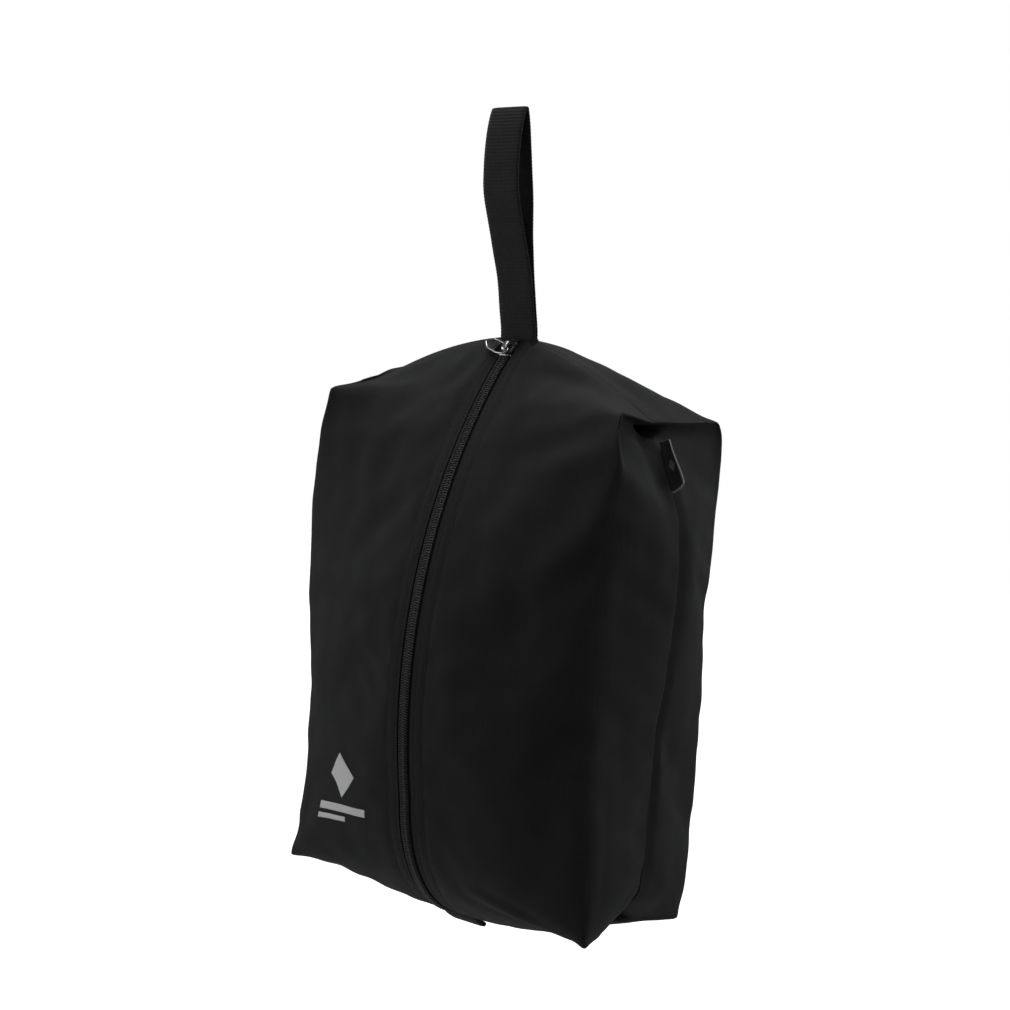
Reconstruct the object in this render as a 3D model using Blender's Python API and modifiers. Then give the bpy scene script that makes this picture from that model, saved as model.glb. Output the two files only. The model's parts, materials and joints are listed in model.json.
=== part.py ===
"""A soft zip pouch for shoes that hangs from a webbing loop. Metres, +Z up.

The pouch is a cloth tube whose ends are sewn flat into a top and a bottom ridge, with its sides
tucked in. It is drawn in the bag's own frame: z = 0 at the bottom corners, y = 0 in the plane of
the ridges and side seams, -Y to the front. The empty bag_frame then moves all of it, so that the
world's origin is the point inside the top of the handle that the bag hangs from.
"""

import math

import bmesh
import bpy
from mathutils import Matrix, Vector

MM = 0.001
GAP = 0.3 * MM                      # left between pieces that touch

# the hanging point in the bag's frame
HANG_Y = -0.0318
HANG_Z = 0.4427

# the bag's corners
CORNER_X = 0.105
CORNER_Y = 0.048
TOP_CORNER_Z = 0.280
EAR_X = 0.107                       # the bottom corners stand out like ears
EAR_Y = 0.047
EAR_Z = -0.002
EDGE_BOW = 0.0025                   # how far the upright edges bow out between the corners

# the ridges lean forward in the middle, and they end short of the corners. The right end of the top
# ridge has sunk in, and the left end stays up
RIDGE_Y = -0.007
RIDGE_Z = 0.3185
RIDGE_END_X = 0.0925
RIGHT_RIDGE_END_Z = 0.2725
LEFT_RIDGE_END_Z = 0.2975
RIGHT_RIDGE_FALL = 2.0              # the power by which the ridge falls away to its end
LEFT_RIDGE_FALL = 1.8
FOOT_Y = -0.0135
FOOT_Z = -0.0140
FOOT_END_X = 0.0955
FOOT_END_Z = 0.004
LEAN_TOP_Z = (0.250, 0.290)         # the heights over which the plane between the halves leans
LEAN_LOW_Z = (0.040, 0.005)

# the side seams, in the plane y = 0
SEAM_X = 0.1175
SEAM_MID_Z = 0.140
SEAM_TOP_X = 0.0938
SEAM_TOP_DROP = 0.0065              # the seam's top end under the ridge's end
SEAM_TURN_DROP = 0.0225             # where it meets the level of the corners
SEAM_BOTTOM = (0.0975, 0.0110)
SEAM_TURN_BOTTOM_Z = 0.032

# the front's middle line: a circle's arc that the slider runs on, then a bend to the foot ridge
ARC_Y = 0.2184
ARC_Z = 0.1253
ARC_R = 0.2981
ARC_TOP = math.radians(39.4)
ARC_BOTTOM = math.radians(-12.9)
BEND_OUT = (-0.0680, 0.0125)
BEND_IN = (-0.0400, -0.0115)

# the back's middle line
BACK_Y = 0.064
BACK_TOP_Z = 0.240
BACK_LOW_Z = 0.060
BACK_TOP_BEND = ((0.038, 0.3170), (0.063, 0.3020))
BACK_LOW_BEND = ((0.062, 0.0150), (0.036, -0.0140))
BACK_FLAT = 0.45                    # the middle share of the back's width that is flat

# the cloth and its rows and columns
CLOTH = 1.2 * MM
FLAP = 0.13                         # the share of each panel's length in its top and bottom flap
FLAP_ROWS = 4
BODY_ROWS = 22
FRONT_COLUMNS = (0.0, 0.1, 0.28, 0.5, 0.7, 0.87, 1.0)
SIDE_COLUMNS = (0.25, 0.5, 0.75, 1.0)
BACK_COLUMNS = (0.0, 0.22, 0.45, 0.65, 0.83, 1.0)
FRONT_FULLNESS = 2.2

# the zip, as offsets from the middle line and heights from the cloth's outer face
ZIP_SLIT = 0.5 * MM
TAPE_EDGE = 14.0 * MM
TAPE_TOP = -(CLOTH + GAP)
TAPE = 0.6 * MM
COIL_EDGE = 3.2 * MM
COIL_TOP = 0.8 * MM
COIL = 2.0 * MM
CLOTH_EDGE = 4.5 * MM               # where the cloth's folded edge lies beside the coil

# sewn rows beside the zip
THREAD_R = 0.3 * MM
EDGE_ROW_X = 7.2 * MM
OUTER_ROW_X = 12.6 * MM

# the slider, in its own frame: x across the zip, y up the zip, z out of the bag
SLIDER_AT = math.radians(38.45)
PLATE_LOW = 1.1 * MM
PLATE = 1.0 * MM
PLATE_HALF_LENGTH = 5.5 * MM
SHOULDER_X = 4.9 * MM
MOUTH_X = 4.3 * MM
FLANGE = (3.5 * MM, 4.2 * MM)
FLANGE_LOW = -1.1 * MM
UNDER_PLATE_TOP = TAPE_TOP - TAPE - GAP
UNDER_PLATE = 1.0 * MM
UNDER_PLATE_X = 4.2 * MM
DIVIDER_X = 0.2 * MM
DIVIDER_Y = (1.5 * MM, 4.5 * MM)

# the bridge on the slider, and the puller round the bridge's lower leg
BRIDGE_X = 1.1 * MM
BRIDGE_LEG_Y = 3.4 * MM
BRIDGE_THICK = 0.9 * MM
BRIDGE_FOOT = PLATE_LOW + PLATE + GAP
BRIDGE_TOP = 4.9 * MM
WIRE_R = 0.55 * MM
WIRE_Z = PLATE_LOW + PLATE + 0.35 * MM + WIRE_R
PULLER_TIP = 18.2 * MM
PULLER_TAIL = 2.5 * MM
PULLER_HALF = 4.2 * MM
PULLER_LEAN = math.radians(22.0)    # how far the resting puller points up from square to the zip
INSERT = 0.8 * MM

# webbing, for the handle and the bottom tab
WEB = 1.6 * MM
WEB_WIDTH = 25.0 * MM
HINGE_Z = RIDGE_Z + 2.2 * MM
# the handle's two strands from the foot to the top fold, as (y, z) of the webbing's middle
NEAR_STRAND = ((-0.00795, 0.3209), (-0.0115, 0.3350), (-0.0160, 0.3520), (-0.0243, 0.3722),
               (-0.0335, 0.3950), (-0.0357, 0.4090), (-0.0361, 0.4220), (-0.0350, 0.4345))
FAR_STRAND = ((-0.00605, 0.3209), (-0.0094, 0.3350), (-0.0134, 0.3520), (-0.0175, 0.3722),
              (-0.0206, 0.3950), (-0.0235, 0.4090), (-0.0262, 0.4220), (-0.0288, 0.4345))
FOLD_TOP = (-0.0322, 0.4435)
STRAND_STEPS = 4

TAB_LENGTH = 8.5 * MM
TAB_HINGE_Z = FOOT_Z - 2.3 * MM
TAB_LEAN = math.radians(60.0)       # how far the resting tab lies back from hanging straight down

LABEL_TOP = (0.0985, 0.2665)
LABEL_BOTTOM = (0.1095, 0.2390)
LABEL_OFF = 1.1 * MM
LABEL_WIDTH = 10.0 * MM
LABEL = 1.2 * MM

BINDING = 2.0 * MM
BINDING_DEPTH = 9.0 * MM
TOP_BINDING_DROP = 8.0 * MM
FOOT_BINDING_DROP = 4.2 * MM
RIDGE_BINDING_X = 0.080
FOOT_BINDING_X = 0.084
SIDE_BINDING_Z = (0.045, 0.235)
SIDE_BINDING_OFF = CLOTH + 0.6 * MM

MARK_X = -0.055
MARK_AT = 0.27
MARK_HALF_X = 0.016
MARK_HALF_V = 0.040
MARK_LIFT = 0.45 * MM
MARK_FILM = 0.3 * MM


def clear_scene():
    for thing in list(bpy.data.objects):
        bpy.data.objects.remove(thing)


def collection(name):
    made = bpy.data.collections.new(name)
    bpy.context.scene.collection.children.link(made)
    return made


def material(name, colour, roughness, metallic=0.0):
    made = bpy.data.materials.new(name)
    made.use_nodes = True
    shader = made.node_tree.nodes["Principled BSDF"]
    shader.inputs["Base Color"].default_value = (*colour, 1.0)
    shader.inputs["Roughness"].default_value = roughness
    shader.inputs["Metallic"].default_value = metallic
    return made


CLOTH_BLACK = ((0.013, 0.013, 0.014), 0.85)
TAPE_BLACK = ((0.010, 0.010, 0.011), 0.9)
COIL_BLACK = ((0.016, 0.016, 0.017), 0.45)
THREAD_BLACK = ((0.012, 0.012, 0.013), 0.8)
WEB_BLACK = ((0.016, 0.016, 0.017), 0.8)
LACQUER_BLACK = ((0.015, 0.015, 0.016), 0.3)
BRIGHT_STEEL = ((0.62, 0.62, 0.62), 0.22, 1.0)
DARK_NICKEL = ((0.30, 0.30, 0.31), 0.28, 1.0)
PRINT_WHITE = ((0.75, 0.75, 0.75), 0.6)


def mix(a, b, share):
    return a + (b - a) * share


def bezier(points, share):
    """A point on the curve that these control points, each (y, z), draw."""
    level = [Vector(p) for p in points]
    while len(level) > 1:
        level = [mix(a, b, share) for a, b in zip(level, level[1:])]
    return level[0]


def on_arc(angle, height=0.0):
    reach = ARC_R + height
    return Vector((ARC_Y - reach * math.cos(angle), ARC_Z + reach * math.sin(angle)))


class Line:
    """A smooth line of (y, z) points that can be read by its share of length, from the foot up."""

    def __init__(self, points):
        self.points = [Vector(p) for p in points]
        self.marks = [0.0]
        for a, b in zip(self.points, self.points[1:]):
            self.marks.append(self.marks[-1] + (b - a).length)

    def at(self, share):
        goal = min(max(share, 0.0), 1.0) * self.marks[-1]
        step = 0
        while step < len(self.marks) - 2 and self.marks[step + 1] < goal:
            step += 1
        span = self.marks[step + 1] - self.marks[step]
        return mix(self.points[step], self.points[step + 1], (goal - self.marks[step]) / span)


def front_line():
    """The front's middle line up to the last row, from which the cloth runs flat to the ridge."""
    bend_top = on_arc(ARC_BOTTOM)
    low = [bezier(((FOOT_Y, FOOT_Z), BEND_IN, BEND_OUT, bend_top), i / 60) for i in range(60)]
    arc = [on_arc(mix(ARC_BOTTOM, ARC_TOP, i / 160)) for i in range(161)]
    return Line(low + arc)


def back_line():
    flat_low = (BACK_Y, BACK_LOW_Z)
    flat_top = (BACK_Y, BACK_TOP_Z)
    into, out = BACK_LOW_BEND
    low = [bezier(((FOOT_Y, FOOT_Z), out, into, flat_low), i / 60) for i in range(60)]
    near, far = BACK_TOP_BEND
    top = [bezier((flat_top, far, near, (RIDGE_Y, RIDGE_Z)), i / 60) for i in range(61)]
    return Line(low + top)


FRONT_LINE = front_line()
BACK_LINE = back_line()


def front_middle(v):
    last_row = 1.0 - FLAP / FLAP_ROWS
    if v <= last_row:
        return FRONT_LINE.at(v / last_row)
    return mix(on_arc(ARC_TOP), Vector((RIDGE_Y, RIDGE_Z)), min(1.0, (v - last_row) / (1.0 - last_row)))


# The left half is drawn on the +X side too, and then mirrored.

def ridge_end_z(right):
    return RIGHT_RIDGE_END_Z if right else LEFT_RIDGE_END_Z


def edge_point(v, right):
    """The edge of a back panel's half: from the foot ridge to the ear, the corner and the top ridge."""
    foot_end = Vector((FOOT_END_X, 0.0, FOOT_END_Z))
    ear = Vector((EAR_X, EAR_Y, EAR_Z))
    corner = Vector((CORNER_X, CORNER_Y, TOP_CORNER_Z))
    ridge_end = Vector((RIDGE_END_X, 0.0, ridge_end_z(right)))
    if v <= FLAP:
        return mix(foot_end, ear, v / FLAP)
    if v >= 1.0 - FLAP:
        return mix(corner, ridge_end, (v - 1.0 + FLAP) / FLAP)
    share = (v - FLAP) / (1.0 - 2.0 * FLAP)
    bow = EDGE_BOW * math.sin(math.pi * share)
    return mix(ear, corner, share) + Vector((bow, bow, 0.0))


def seam_x(z, right):
    if z > SEAM_MID_Z:
        end_z = ridge_end_z(right) - SEAM_TOP_DROP
        return mix(SEAM_X, SEAM_TOP_X, ((z - SEAM_MID_Z) / (end_z - SEAM_MID_Z)) ** 4)
    end_x, end_z = SEAM_BOTTOM
    return mix(SEAM_X, end_x, ((SEAM_MID_Z - z) / (SEAM_MID_Z - end_z)) ** 8)


def seam_point(v, right):
    turn_z = ridge_end_z(right) - SEAM_TURN_DROP
    if v <= FLAP:
        z = mix(SEAM_BOTTOM[1], SEAM_TURN_BOTTOM_Z, v / FLAP)
    elif v >= 1.0 - FLAP:
        z = mix(turn_z, ridge_end_z(right) - SEAM_TOP_DROP, (v - 1.0 + FLAP) / FLAP)
    else:
        z = mix(SEAM_TURN_BOTTOM_Z, turn_z, (v - FLAP) / (1.0 - 2.0 * FLAP))
    return Vector((seam_x(z, right), 0.0, z))


def fall_power(v, right):
    """The power by which a row falls from the middle to its edge."""
    end = RIGHT_RIDGE_FALL if right else LEFT_RIDGE_FALL
    return mix(2.0, end, max(0.0, (v - 1.0 + FLAP) / FLAP))


def front_point(x, v, right):
    """The cloth's outer face in front, at x from the middle and v up the panel."""
    middle = front_middle(v)
    edge = edge_point(v, right)
    share = min(x / edge.x, 1.0)
    y = mix(middle[0], -edge.y, share ** FRONT_FULLNESS)
    return Vector((x, y, mix(middle[1], edge.z, share ** fall_power(v, right))))


def back_point(share, v, right):
    """The same behind, at a share of the half width. Along the ridges it follows the front."""
    middle = BACK_LINE.at(v)
    edge = edge_point(v, right)
    out = max(0.0, (share - BACK_FLAT) / (1.0 - BACK_FLAT)) ** 2
    in_flap = min(1.0, min(v, 1.0 - v) / FLAP)
    out = mix(share ** FRONT_FULLNESS, out, in_flap)
    z = mix(middle[1], edge.z, share ** fall_power(v, right))
    return Vector((share * edge.x, mix(middle[0], edge.y, out), z))


def side_point(share, v, front, right):
    """The side from the panel's edge (0) to the side seam (1)."""
    edge = edge_point(v, right)
    seam = seam_point(v, right)
    y = edge.y * (1.0 - share)
    x = mix(edge.x, seam.x, math.sin(share * math.pi / 2.0))
    return Vector((x, -y if front else y, mix(edge.z, seam.z, share)))


def lean_y(x, middle_y):
    """How far forward a ridge lies at x, where it lies middle_y forward in the middle."""
    return middle_y * (1.0 - min(abs(x) / RIDGE_END_X, 1.0) ** FRONT_FULLNESS)


def halves_y(x, z):
    """The y of the surface between the front and the back half."""
    top = min(max((z - LEAN_TOP_Z[0]) / (LEAN_TOP_Z[1] - LEAN_TOP_Z[0]), 0.0), 1.0)
    low = min(max((z - LEAN_LOW_Z[0]) / (LEAN_LOW_Z[1] - LEAN_LOW_Z[0]), 0.0), 1.0)
    return top * lean_y(x, RIDGE_Y) + low * lean_y(x, FOOT_Y)


def row_shares():
    low = [FLAP * i / FLAP_ROWS for i in range(FLAP_ROWS)]
    body = [mix(FLAP, 1.0 - FLAP, i / BODY_ROWS) for i in range(BODY_ROWS)]
    high = [mix(1.0 - FLAP, 1.0, i / FLAP_ROWS) for i in range(FLAP_ROWS + 1)]
    return low + body + high


ROWS = row_shares()


def lifted(x, v, height, right):
    """A point near the front's middle line, height out from the cloth's outer face."""
    step = 0.004
    below = front_middle(max(v - step, 0.0))
    above = front_middle(min(v + step, 1.0))
    along = (above - below).normalized()
    out = Vector((0.0, -along[1], along[0]))
    return front_point(x, v, right) + out * height


def grid_mesh(name, rows):
    """An open surface through rows of points."""
    count = len(rows[0])
    verts = [tuple(p) for row in rows for p in row]
    faces = []
    for r in range(len(rows) - 1):
        for c in range(count - 1):
            low = r * count + c
            high = low + count
            faces.append((low, low + 1, high + 1, high))
    mesh = bpy.data.meshes.new(name)
    mesh.from_pydata(verts, [], faces)
    mesh.update()
    return mesh


def add_object(name, data, group, parent, look):
    made = bpy.data.objects.new(name, data)
    group.objects.link(made)
    made.parent = parent
    finish = material(name + "_finish", *look)
    data.materials.clear()
    data.materials.append(finish)
    return made


def thicken(thing, thickness, offset=-1.0):
    solid = thing.modifiers.new("thickness", "SOLIDIFY")
    solid.thickness = thickness
    solid.offset = offset
    solid.use_even_offset = True
    solid.use_quality_normals = True


def keep_to_side(thing, front):
    """Applies the modifiers and holds every point in its own half of the bag."""
    graph = bpy.context.evaluated_depsgraph_get()
    mesh = bpy.data.meshes.new_from_object(thing.evaluated_get(graph))
    thing.modifiers.clear()
    thing.data = mesh
    for vertex in mesh.vertices:
        between = halves_y(vertex.co.x, vertex.co.z)
        if front:
            vertex.co.y = min(vertex.co.y, between - GAP / 2.0)
        else:
            vertex.co.y = max(vertex.co.y, between + GAP / 2.0)
    mesh.update()


def shade(thing):
    thing.data.shade_smooth()
    thing.data.set_sharp_from_angle(angle=math.radians(40.0))


def mirrored(rows):
    return [[Vector((-p.x, p.y, p.z)) for p in reversed(row)] for row in rows]


def front_panel(name, group, parent, right):
    rows = []
    for v in ROWS:
        edge_x = edge_point(v, right).x
        row = [front_point(mix(CLOTH_EDGE, edge_x, share), v, right) for share in FRONT_COLUMNS]
        row += [side_point(share, v, True, right) for share in SIDE_COLUMNS]
        rows.append(row)
    if not right:
        rows = mirrored(rows)
    panel = add_object(name, grid_mesh(name, rows), group, parent, CLOTH_BLACK)
    thicken(panel, CLOTH)
    bpy.context.view_layer.update()
    keep_to_side(panel, front=True)
    shade(panel)


def back_panel(group, parent):
    rows = []
    for v in ROWS:
        halves = []
        for right in (True, False):
            half = [back_point(share, v, right) for share in BACK_COLUMNS]
            half += [side_point(share, v, False, right) for share in SIDE_COLUMNS]
            halves.append(half)
        other = [Vector((-p.x, p.y, p.z)) for p in halves[1][1:]]
        rows.append(halves[0][::-1] + other)
    panel = add_object("back_panel", grid_mesh("back_panel", rows), group, parent, CLOTH_BLACK)
    thicken(panel, CLOTH)
    bpy.context.view_layer.update()
    keep_to_side(panel, front=False)
    shade(panel)


def zip_strip(name, group, parent, right, span, top, thickness, look):
    """A strip along the front's middle line, from span[0] to span[1] off it."""
    rows = [[lifted(x, v, top, right) for x in span] for v in ROWS]
    if not right:
        rows = mirrored(rows)
    strip = add_object(name, grid_mesh(name, rows), group, parent, look)
    thicken(strip, thickness)
    bpy.context.view_layer.update()
    keep_to_side(strip, front=True)


def wire_curve(name, points, radius, closed=False):
    curve = bpy.data.curves.new(name, "CURVE")
    curve.dimensions = "3D"
    curve.bevel_depth = radius
    curve.bevel_resolution = 2
    curve.use_fill_caps = not closed
    spline = curve.splines.new("POLY")
    spline.points.add(len(points) - 1)
    for place, point in zip(spline.points, points):
        place.co = (*point, 1.0)
    spline.use_cyclic_u = closed
    return curve


def sewn_row(name, group, parent, right, x):
    lift = THREAD_R + GAP
    inner = ROWS[1:-1]
    points = [lifted(x, v, lift, right) for v in inner]
    if not right:
        points = [Vector((-p.x, p.y, p.z)) for p in points]
    add_object(name, wire_curve(name, points, THREAD_R), group, parent, THREAD_BLACK)


def outline_curve(name, outline, half_thickness):
    """A flat closed outline in its own XY plane, half_thickness each way in Z."""
    curve = bpy.data.curves.new(name, "CURVE")
    curve.dimensions = "2D"
    curve.fill_mode = "BOTH"
    curve.extrude = half_thickness
    spline = curve.splines.new("POLY")
    spline.points.add(len(outline) - 1)
    for place, (x, y) in zip(spline.points, outline):
        place.co = (x, y, 0.0, 1.0)
    spline.use_cyclic_u = True
    return curve


def meshed(curve, name):
    """The curve's solid as a mesh with its caps welded on."""
    holder = bpy.data.objects.new(name, curve)
    bpy.context.scene.collection.objects.link(holder)
    bpy.context.view_layer.update()
    graph = bpy.context.evaluated_depsgraph_get()
    mesh = bpy.data.meshes.new_from_object(holder.evaluated_get(graph))
    bpy.data.objects.remove(holder)
    work = bmesh.new()
    work.from_mesh(mesh)
    bmesh.ops.remove_doubles(work, verts=work.verts, dist=0.001 * MM)
    bmesh.ops.recalc_face_normals(work, faces=work.faces)
    work.to_mesh(mesh)
    work.free()
    return mesh


def box_mesh(name, low, high):
    mesh = bpy.data.meshes.new(name)
    work = bmesh.new()
    bmesh.ops.create_cube(work, size=1.0)
    size = Vector(high) - Vector(low)
    middle = (Vector(high) + Vector(low)) / 2.0
    bmesh.ops.scale(work, vec=size, verts=work.verts)
    bmesh.ops.translate(work, vec=middle, verts=work.verts)
    work.to_mesh(mesh)
    work.free()
    return mesh


def unite(thing, adders):
    for adder in adders:
        join = thing.modifiers.new("join", "BOOLEAN")
        join.operation = "UNION"
        join.solver = "EXACT"
        join.object = adder


def cutter(name, mesh, group, parent, matrix):
    made = bpy.data.objects.new(name, mesh)
    group.objects.link(made)
    made.parent = parent
    made.matrix_local = matrix
    made.hide_render = True
    made.display_type = "WIRE"
    return made


def slider_matrix():
    """From the slider's own frame to its pivot's frame, whose origin is the arc's centre."""
    up = Vector((0.0, math.sin(SLIDER_AT), math.cos(SLIDER_AT)))
    out = Vector((0.0, -math.cos(SLIDER_AT), math.sin(SLIDER_AT)))
    seat = out * ARC_R
    turn = Matrix((Vector((1.0, 0.0, 0.0)), up, out)).transposed().to_4x4()
    return Matrix.Translation(seat) @ turn


def slider_body(group, cutters, pivot):
    """Two plates joined by a thin divider between the coils; the top plate has side flanges."""
    length = PLATE_HALF_LENGTH
    waist = 0.4 * length
    outline = [(-MOUTH_X, -0.75 * length), (-0.5 * MOUTH_X, -length), (0.5 * MOUTH_X, -length),
               (MOUTH_X, -0.75 * length), (MOUTH_X, waist - 1.0 * MM), (SHOULDER_X, waist + 1.0 * MM),
               (SHOULDER_X, 0.85 * length), (0.75 * SHOULDER_X, length), (0.2 * SHOULDER_X, 0.9 * length),
               (-0.2 * SHOULDER_X, 0.9 * length), (-0.75 * SHOULDER_X, length),
               (-SHOULDER_X, 0.85 * length), (-SHOULDER_X, waist + 1.0 * MM), (-MOUTH_X, waist - 1.0 * MM)]
    plate_mesh = meshed(outline_curve("slider_plate", outline, PLATE / 2.0), "slider_plate")
    plate_mesh.transform(Matrix.Translation((0.0, 0.0, PLATE_LOW + PLATE / 2.0)))
    matrix = slider_matrix()
    body = add_object("slider_body", plate_mesh, group, pivot, LACQUER_BLACK)
    body.matrix_local = matrix
    overlap = 0.1 * MM
    flange_y = 0.7 * length
    pieces = {
        "flange_right": ((FLANGE[0], -flange_y, FLANGE_LOW), (FLANGE[1], flange_y, PLATE_LOW + overlap)),
        "flange_left": ((-FLANGE[1], -flange_y, FLANGE_LOW), (-FLANGE[0], flange_y, PLATE_LOW + overlap)),
        "divider": ((-DIVIDER_X, DIVIDER_Y[0], UNDER_PLATE_TOP - overlap),
                    (DIVIDER_X, DIVIDER_Y[1], PLATE_LOW + overlap)),
        "under_plate": ((-UNDER_PLATE_X, -0.85 * length, UNDER_PLATE_TOP - UNDER_PLATE),
                        (UNDER_PLATE_X, 0.85 * length, UNDER_PLATE_TOP)),
    }
    adders = [cutter(name, box_mesh(name, *ends), cutters, pivot, matrix)
              for name, ends in pieces.items()]
    unite(body, adders)


def slider_bridge(group, pivot):
    """An arch along the zip, drawn in profile and extruded across."""
    leg = BRIDGE_LEG_Y
    half = BRIDGE_THICK / 2.0
    low = BRIDGE_FOOT
    high = BRIDGE_TOP
    round_off = 1.0 * MM
    outer = [(-leg - half, low), (-leg - half, high - round_off), (-leg - half + round_off, high),
             (leg + half - round_off, high), (leg + half, high - round_off), (leg + half, low)]
    inner = [(leg - half, low), (leg - half, high - round_off), (leg - half - 0.4 * MM, high - 2 * half),
             (-leg + half + 0.4 * MM, high - 2 * half), (-leg + half, high - round_off), (-leg + half, low)]
    mesh = meshed(outline_curve("slider_bridge", outer + inner, BRIDGE_X), "slider_bridge")
    upright = Matrix(((0.0, 0.0, 1.0, 0.0), (1.0, 0.0, 0.0, 0.0), (0.0, 1.0, 0.0, 0.0), (0.0, 0.0, 0.0, 1.0)))
    mesh.transform(upright)
    bridge = add_object("slider_bridge", mesh, group, pivot, BRIGHT_STEEL)
    bridge.matrix_local = slider_matrix()


def puller_outline(inset, back, tip):
    """Half a long hexagon's corners as (along, across), from its tail to its tip."""
    half = PULLER_HALF - inset
    return [(-back, 0.45 * half), (0.18 * tip, half), (0.72 * tip, half), (tip - inset, 0.22 * half)]


def puller_frame(group, pivot):
    half = puller_outline(WIRE_R, PULLER_TAIL, PULLER_TIP)
    loop = [(x, y) for x, y in half] + [(x, -y) for x, y in reversed(half)]
    points = [Vector((-x, y, WIRE_Z)) for x, y in loop]
    mesh = meshed(wire_curve("puller_frame", points, WIRE_R, closed=True), "puller_frame")
    add_object("puller_frame", mesh, group, pivot, DARK_NICKEL)


def puller_insert(group, pivot):
    """The plate in the loop's outer part, clear of the wire all round."""
    clear = 2.0 * WIRE_R + GAP + 0.15 * MM
    half = PULLER_HALF - clear
    outline = [(6.2 * MM, 0.8 * half), (0.36 * PULLER_TIP, half), (0.70 * PULLER_TIP, half),
               (PULLER_TIP - 1.9 * clear, 0.2 * half)]
    loop = [(-x, y) for x, y in outline] + [(-x, -y) for x, y in reversed(outline)]
    mesh = meshed(outline_curve("puller_insert", loop, INSERT / 2.0), "puller_insert")
    mesh.transform(Matrix.Translation((0.0, 0.0, WIRE_Z)))
    add_object("puller_insert", mesh, group, pivot, LACQUER_BLACK)


def smooth_run(points, steps):
    """A Catmull-Rom curve through the points."""
    padded = [2 * points[0] - points[1], *points, 2 * points[-1] - points[-2]]
    run = []
    for a, b, c, d in zip(padded, padded[1:], padded[2:], padded[3:]):
        for i in range(steps):
            t = i / steps
            run.append(0.5 * (2 * b + (c - a) * t + (2 * a - 5 * b + 4 * c - d) * t ** 2
                              + (3 * b - a - 3 * c + d) * t ** 3))
    run.append(points[-1])
    return run


def ribbon(name, group, parent, line, width, thickness, look):
    """A strip of webbing along (y, z) points, width across X."""
    rows = [[Vector((width / 2.0, y, z)), Vector((-width / 2.0, y, z))] for y, z in line]
    strip = add_object(name, grid_mesh(name, rows), group, parent, look)
    thicken(strip, thickness, offset=0.0)


def handle(group, pivot):
    near = [Vector(p) for p in NEAR_STRAND]
    far = [Vector(p) for p in FAR_STRAND]
    run = smooth_run([*near, Vector(FOLD_TOP), *reversed(far)], STRAND_STEPS)
    centred = [(p[0] - RIDGE_Y, p[1] - HINGE_Z) for p in run]
    ribbon("handle_webbing", group, pivot, centred, WEB_WIDTH, WEB, WEB_BLACK)


def bottom_tab(group, pivot):
    """A short strand folded in two, its fold hanging down."""
    half = (WEB + GAP) / 2.0
    turn_z = half - TAB_LENGTH
    down = [(-half, 0.0), (-half, turn_z / 2.0)]
    turn = []
    for i in range(7):
        angle = math.pi * i / 6
        turn.append((-half * math.cos(angle), turn_z - half * math.sin(angle)))
    up = [(half, z) for _, z in reversed(down)]
    ribbon("bottom_tab", group, pivot, down + turn + up, WEB_WIDTH, WEB, WEB_BLACK)


def side_label(group, pivot, length):
    """A folded label: its root lies on the pivot's own Z axis and it stands out along X."""
    low = (0.0, -LABEL / 2.0, -length / 2.0)
    high = (LABEL_WIDTH, LABEL / 2.0, length / 2.0)
    add_object("side_label", box_mesh("side_label", low, high), group, pivot, WEB_BLACK)


def binding(name, group, parent, inner, outer):
    """A bound seam allowance: a strip in the seams' plane between two lines of points."""
    rows = [[a, b] for a, b in zip(inner, outer)]
    strip = add_object(name, grid_mesh(name, rows), group, parent, TAPE_BLACK)
    thicken(strip, BINDING, offset=0.0)


def ridge_bindings(group, parent):
    steps = 12
    ends = (RIGHT_RIDGE_END_Z, RIGHT_RIDGE_FALL), (LEFT_RIDGE_END_Z, LEFT_RIDGE_FALL)
    foot_ends = (FOOT_END_Z, 2.0), (FOOT_END_Z, 2.0)
    for name, reach, middle, end_x, sides, down in (
            ("top_seam_binding", RIDGE_BINDING_X, (RIDGE_Y, RIDGE_Z), RIDGE_END_X, ends, -TOP_BINDING_DROP),
            ("bottom_seam_binding", FOOT_BINDING_X, (FOOT_Y, FOOT_Z), FOOT_END_X, foot_ends,
             FOOT_BINDING_DROP)):
        outer = []
        inner = []
        for i in range(steps + 1):
            x = mix(-reach, reach, i / steps)
            end_z, power = sides[0] if x > 0.0 else sides[1]
            z = mix(middle[1], end_z, (abs(x) / end_x) ** power) + down
            outer.append(Vector((x, lean_y(x, middle[0]), z)))
            inner.append(outer[-1] + Vector((0.0, 0.0, math.copysign(BINDING_DEPTH, down))))
        binding(name, group, parent, inner, outer)


def side_bindings(group, parent):
    steps = 14
    for name, right in (("right_side_binding", True), ("left_side_binding", False)):
        sense = 1.0 if right else -1.0
        outer = []
        inner = []
        for i in range(steps + 1):
            z = mix(*SIDE_BINDING_Z, i / steps)
            x = seam_x(z, right) - SIDE_BINDING_OFF
            outer.append(Vector((sense * x, 0.0, z)))
            inner.append(Vector((sense * (x - BINDING_DEPTH), 0.0, z)))
        binding(name, group, parent, inner, outer)


def printed_mark(group, parent):
    """A plain diamond of printed film on the left front panel."""
    steps = 6
    rows = []
    for i in range(steps + 1):
        row = []
        for j in range(steps + 1):
            a = 2.0 * i / steps - 1.0
            b = 2.0 * j / steps - 1.0
            x = -MARK_X + MARK_HALF_X * (a - b) / 2.0
            v = MARK_AT + MARK_HALF_V * (a + b) / 2.0
            row.append(lifted(x, v, MARK_LIFT, False))
        rows.append(row)
    film = add_object("printed_mark", grid_mesh("printed_mark", mirrored(rows)), group, parent, PRINT_WHITE)
    thicken(film, MARK_FILM)


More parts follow.
